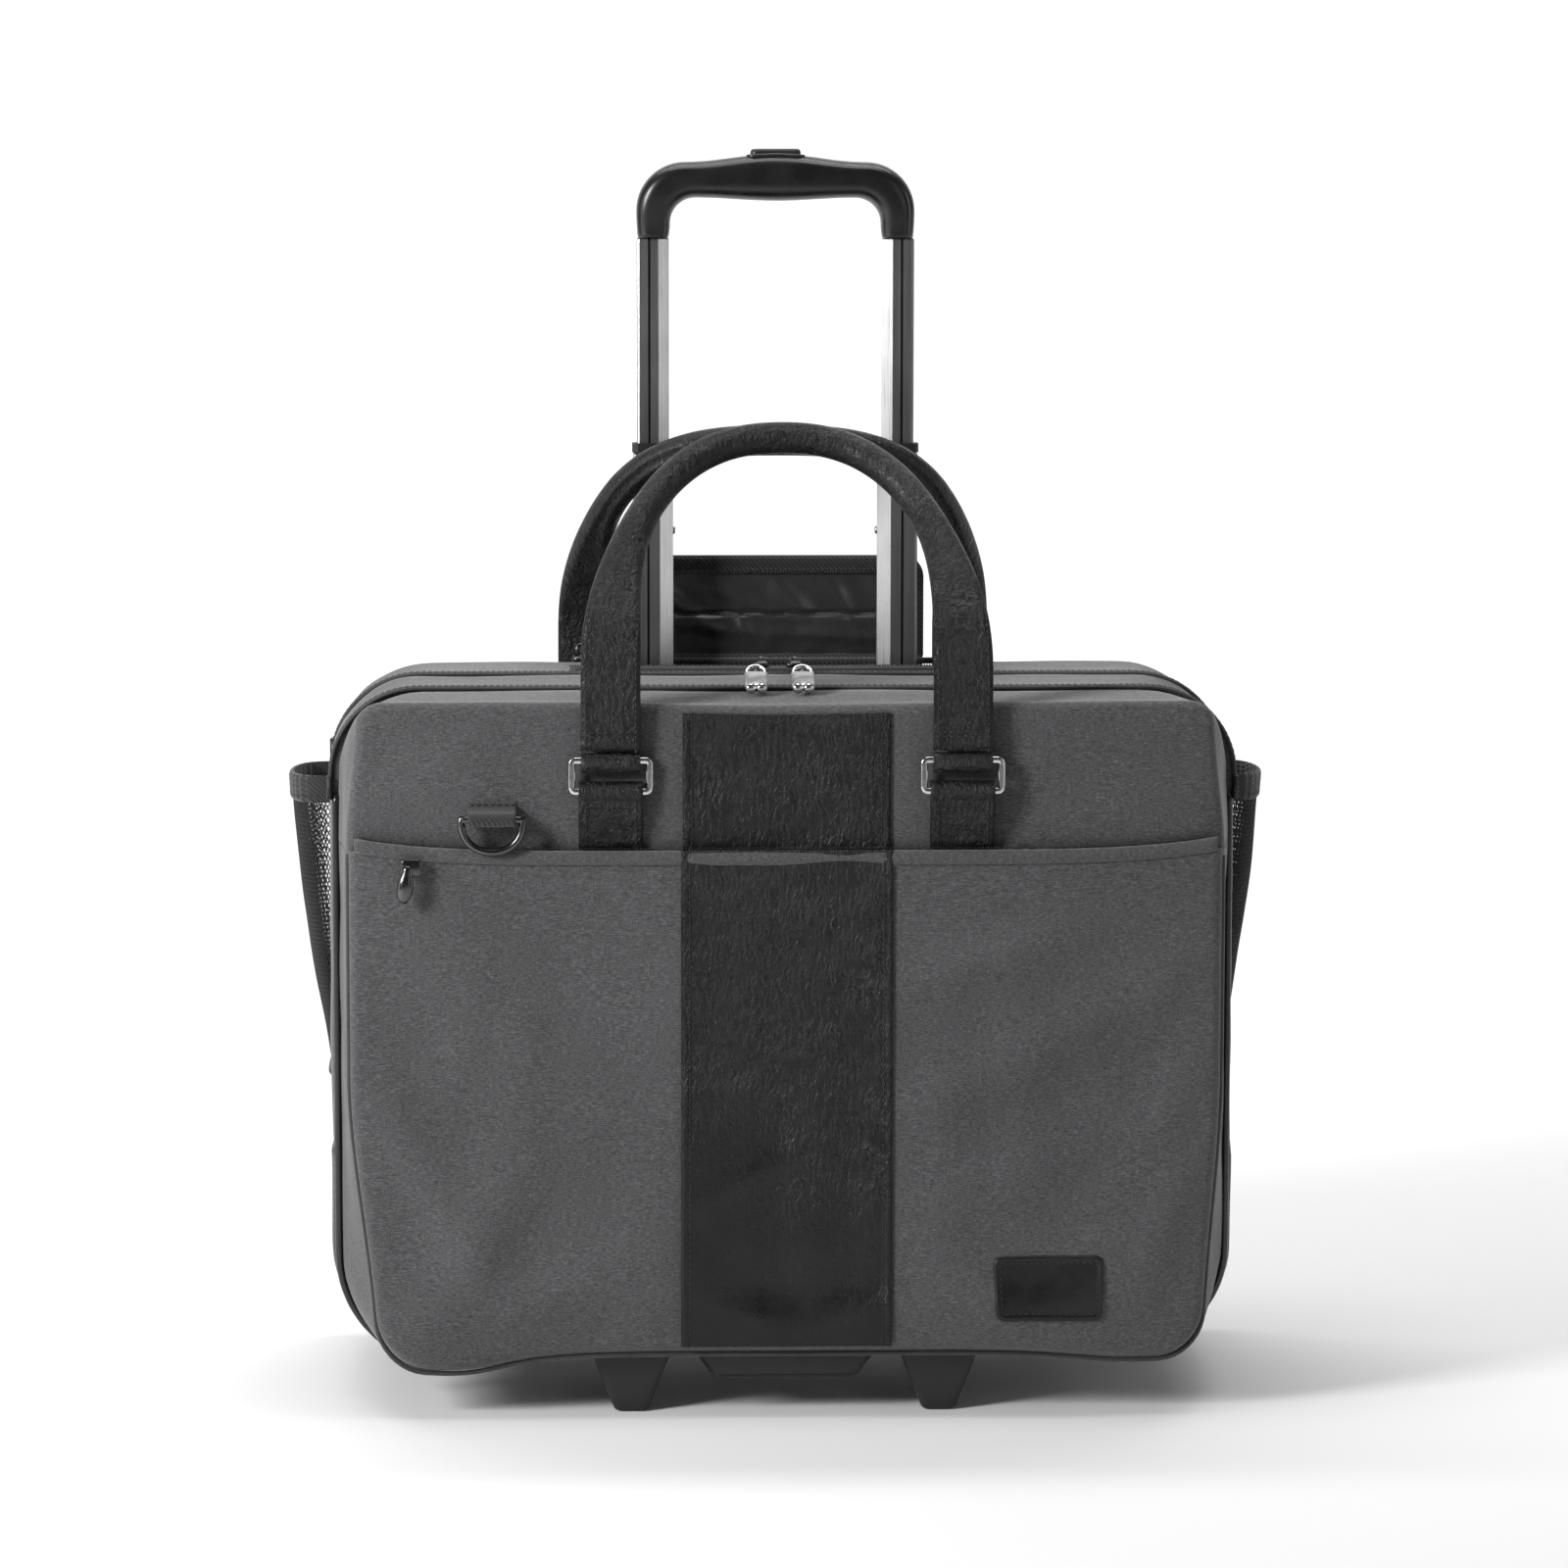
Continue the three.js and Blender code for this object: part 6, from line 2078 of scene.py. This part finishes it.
def lock_slider(name):
    a, b = low(name), high(name)
    x = (a.x + b.x) / 2
    y = SEAM_Y + 3.4 * MM
    z = a.z + 0.7 * MM
    parts = zip_body(x, y, z, 4.6 * MM, 4.2 * MM, BRUSHED)
    y_ring = y - 3.4 * MM
    parts.append(shackle(x, y_ring, z + 4.6 * MM, 4.4 * MM, 1.0 * MM, 0.75, NICKEL))
    start, end = (y_ring - 2.4 * MM, z + 3.4 * MM), (a.y + 2.4 * MM, z - 2.6 * MM)
    parts.append(slab(((x - 5.8 * MM, x + 5.8 * MM), start, end), 2.8 * MM, BRUSHED, 0.7 * MM))
    for dx in (-2.7, 2.7):
        parts.append(sweep("part", [Vector((x + dx * MM, end[0] + 1.6 * MM, end[1] + 1.4 * MM)),
                                    Vector((x + dx * MM, end[0] - 0.6 * MM, end[1] + 1.2 * MM)),
                                    Vector((x + dx * MM, end[0] - 2.6 * MM, end[1] + 1.0 * MM)),
                                    Vector((x + dx * MM, end[0] - 3.2 * MM, end[1] + 1.0 * MM))],
                           lambda t: (2.5 - 0.9 * (t > 0.9)) * MM, [NICKEL], sides=18))
    obj = joined(f"{name}_lock_pull", parts)
    carry(obj, name, "nickel", name)


def slim_slider(name):
    a, b = low(name), high(name)
    x = (a.x + b.x) / 2
    y = ZIP_Y + 3.4 * MM
    z = a.z + 0.7 * MM
    parts = zip_body(x, y, z, 4.2 * MM, 4.0 * MM, GUNMETAL)
    parts.append(shackle(x, y - 3.4 * MM, z + 4.0 * MM, 2.5 * MM, 0.8 * MM, 0.3, GUNMETAL))
    start, end = (y - 5.2 * MM, z + 3.4 * MM), (a.y + 0.3 * MM, z + 2.0 * MM)
    parts.append(slab(((x - 2.9 * MM, x + 2.9 * MM), start, end), 1.9 * MM, GUNMETAL, 0.5 * MM))
    obj = joined(f"{name}_pull", parts)
    carry(obj, name, "gunmetal", name)


for side, s in SIDES:
    lock_slider(f"front_zip_slider_{side}")
for side, s in SIDES:
    slim_slider(f"laptop_zip_slider_{side}")


def trolley_slider():
    node = "trolley_zip_slider"
    a, b = low(node), high(node)
    x, z = (a.x + b.x) / 2, a.z + 0.7 * MM
    y = (a.y + b.y) / 2 + 0.3 * MM
    parts = zip_body(x, y, z, 4.4 * MM, 3.8 * MM, GUNMETAL)
    parts.append(shackle(x, y, z + 6.4 * MM, 2.4 * MM, 0.8 * MM, 1.4, GUNMETAL))
    carry(joined("trolley_zip_pull", parts), node, "gunmetal", node)


def pocket_slider():
    node = "pocket_zip_slider"
    a, b = low(node), high(node)
    x = (a.x + b.x) / 2
    back = b.y
    parts = [block_mesh("part", Vector((x - 4.6 * MM, back - 3.3 * MM, b.z - 8 * MM)),
                        Vector((x + 5.4 * MM, back - 0.2 * MM, b.z)), 0.7 * MM, GUNMETAL)]
    top = Vector((x - 1.0 * MM, back - 4.6 * MM, b.z - 3 * MM))
    foot = Vector((x - 3.5 * MM, back - 4.4 * MM, a.z + 1 * MM))
    line = [top + (foot - top) * (i / 8) for i in range(9)]
    widths = (1.9, 2.3, 2.6, 3.4, 3.9, 3.9, 3.7, 3.0, 1.7)
    parts.append(sweep("part", line, lambda t: widths[round(t * 8)] * MM, [GUNMETAL], sides=20,
                       flat=0.62))
    carry(joined("pocket_zip_pull", parts), node, "gunmetal", node)


trolley_slider()
pocket_slider()

# %% [markdown]
# The trolley zip lies on top of the bag in front of the handle bay, and the bay's mouth is
# bound with webbing so the cut cloth never shows.
# %% Trolley zip and bay binding
def trolley_zip():
    y = middle("trolley_zip_slider").y
    z = TOP_Z - 0.9 * MM
    half = 106 * MM
    xs = [-half + 2 * half * i / 60 for i in range(61)]
    rings = [[Vector((x, y + dy * MM, z + dz * MM)) for dy, dz in (
        (-5.5, -1.0), (-5.2, 0.9), (-0.7, 1.3), (0.7, 1.3), (5.2, 0.9), (5.5, -1.0))] for x in xs]
    carry(loft("trolley_zip_tape", rings, [TAPE]), "rear_section", "lining")
    line = [(Vector((x, y, z + 1.7 * MM)), (0, 1, 0)) for x in xs]
    carry(zip_coil("trolley_zip_coil", line), "rear_section", "plastic")
    mid = (MOUTH_FRONT + MOUTH_BACK) / 2
    deep = (MOUTH_BACK - MOUTH_FRONT) / 2
    rim = [Vector((x, mid + w, TOP_Z - 0.8 * MM)) for x, w in
           rounded(MOUTH_HALF + 0.5 * MM, -deep, deep, 3 * MM, 3 * MM, 120)]
    binding = sweep("bay_binding", rim, 1.7 * MM, [WEBBING], sides=10, closed=True)
    carry(binding, "rear_section", "lining")


trolley_zip()

# %% [markdown]
# ## Camera, floor and light
# The case is seen almost straight on, from a little above and a little to its left, with a
# long lens. A big soft light overhead and to the left and a weaker one to the right keep
# the dark cloth readable. The floor is pale and plain.
# %% Camera and light
def stage():
    scene = bpy.context.scene
    camera = bpy.data.cameras.new("camera")
    camera.sensor_width = 36
    camera.lens = 122.4
    camera_object = bpy.data.objects.new("camera", camera)
    collection.objects.link(camera_object)
    camera_object.location = (-0.0901, -2.6763, 0.6055)
    turn = (math.radians(90 - 6.481), math.radians(-0.08), math.radians(-1.967))
    camera_object.rotation_euler = turn
    scene.camera = camera_object

    run = [(-3.5, 0.0), (1.6, 0.0)]
    run += [(1.6 + 1.2 * math.sin(t), 1.2 - 1.2 * math.cos(t))
            for t in (math.pi / 2 * k / 16 for k in range(1, 17))]
    run.append((2.8, 5.0))
    verts = [(x, y, z) for y, z in run for x in (-6, 6)]
    faces = [(2 * i, 2 * i + 1, 2 * i + 3, 2 * i + 2) for i in range(len(run) - 1)]
    paper = Finish("pale_paper", (0.82, 0.82, 0.82), 0.9).material
    mesh_object("floor", verts, faces, [paper])

    world = bpy.data.worlds.new("studio")
    world.use_nodes = True
    world.node_tree.nodes["Background"].inputs["Color"].default_value = (1, 1, 1, 1)
    world.node_tree.nodes["Background"].inputs["Strength"].default_value = 0.09
    scene.world = world
    scene.view_settings.view_transform = "Standard"

    def area(name, place, target, size, power):
        light = bpy.data.lights.new(name, "AREA")
        light.shape = "RECTANGLE"
        light.size, light.size_y = size
        light.energy = power
        obj = bpy.data.objects.new(name, light)
        obj.location = place
        aim = Vector(target) - Vector(place)
        obj.rotation_euler = aim.to_track_quat("-Z", "Y").to_euler()
        collection.objects.link(obj)

    area("key", (-1.5, -1.1, 1.0), (-0.1, 0, 0.25), (0.5, 0.7), 40)
    area("fill", (1.6, -2.6, 0.8), (0, 0, 0.25), (0.9, 1.6), 4)
    area("overhead", (0, -0.2, 2.2), (0, 0, 0.3), (1.4, 0.6), 14)
    area("side_left", (-2.1, -0.35, 0.6), (0, 0, 0.4), (0.6, 1.6), 7)
    area("side_right", (2.1, -0.35, 0.6), (0, 0, 0.4), (0.6, 1.6), 7)
    area("backdrop", (0, 0.9, 2.9), (0, 2.8, 0.8), (3.5, 0.8), 90)


stage()
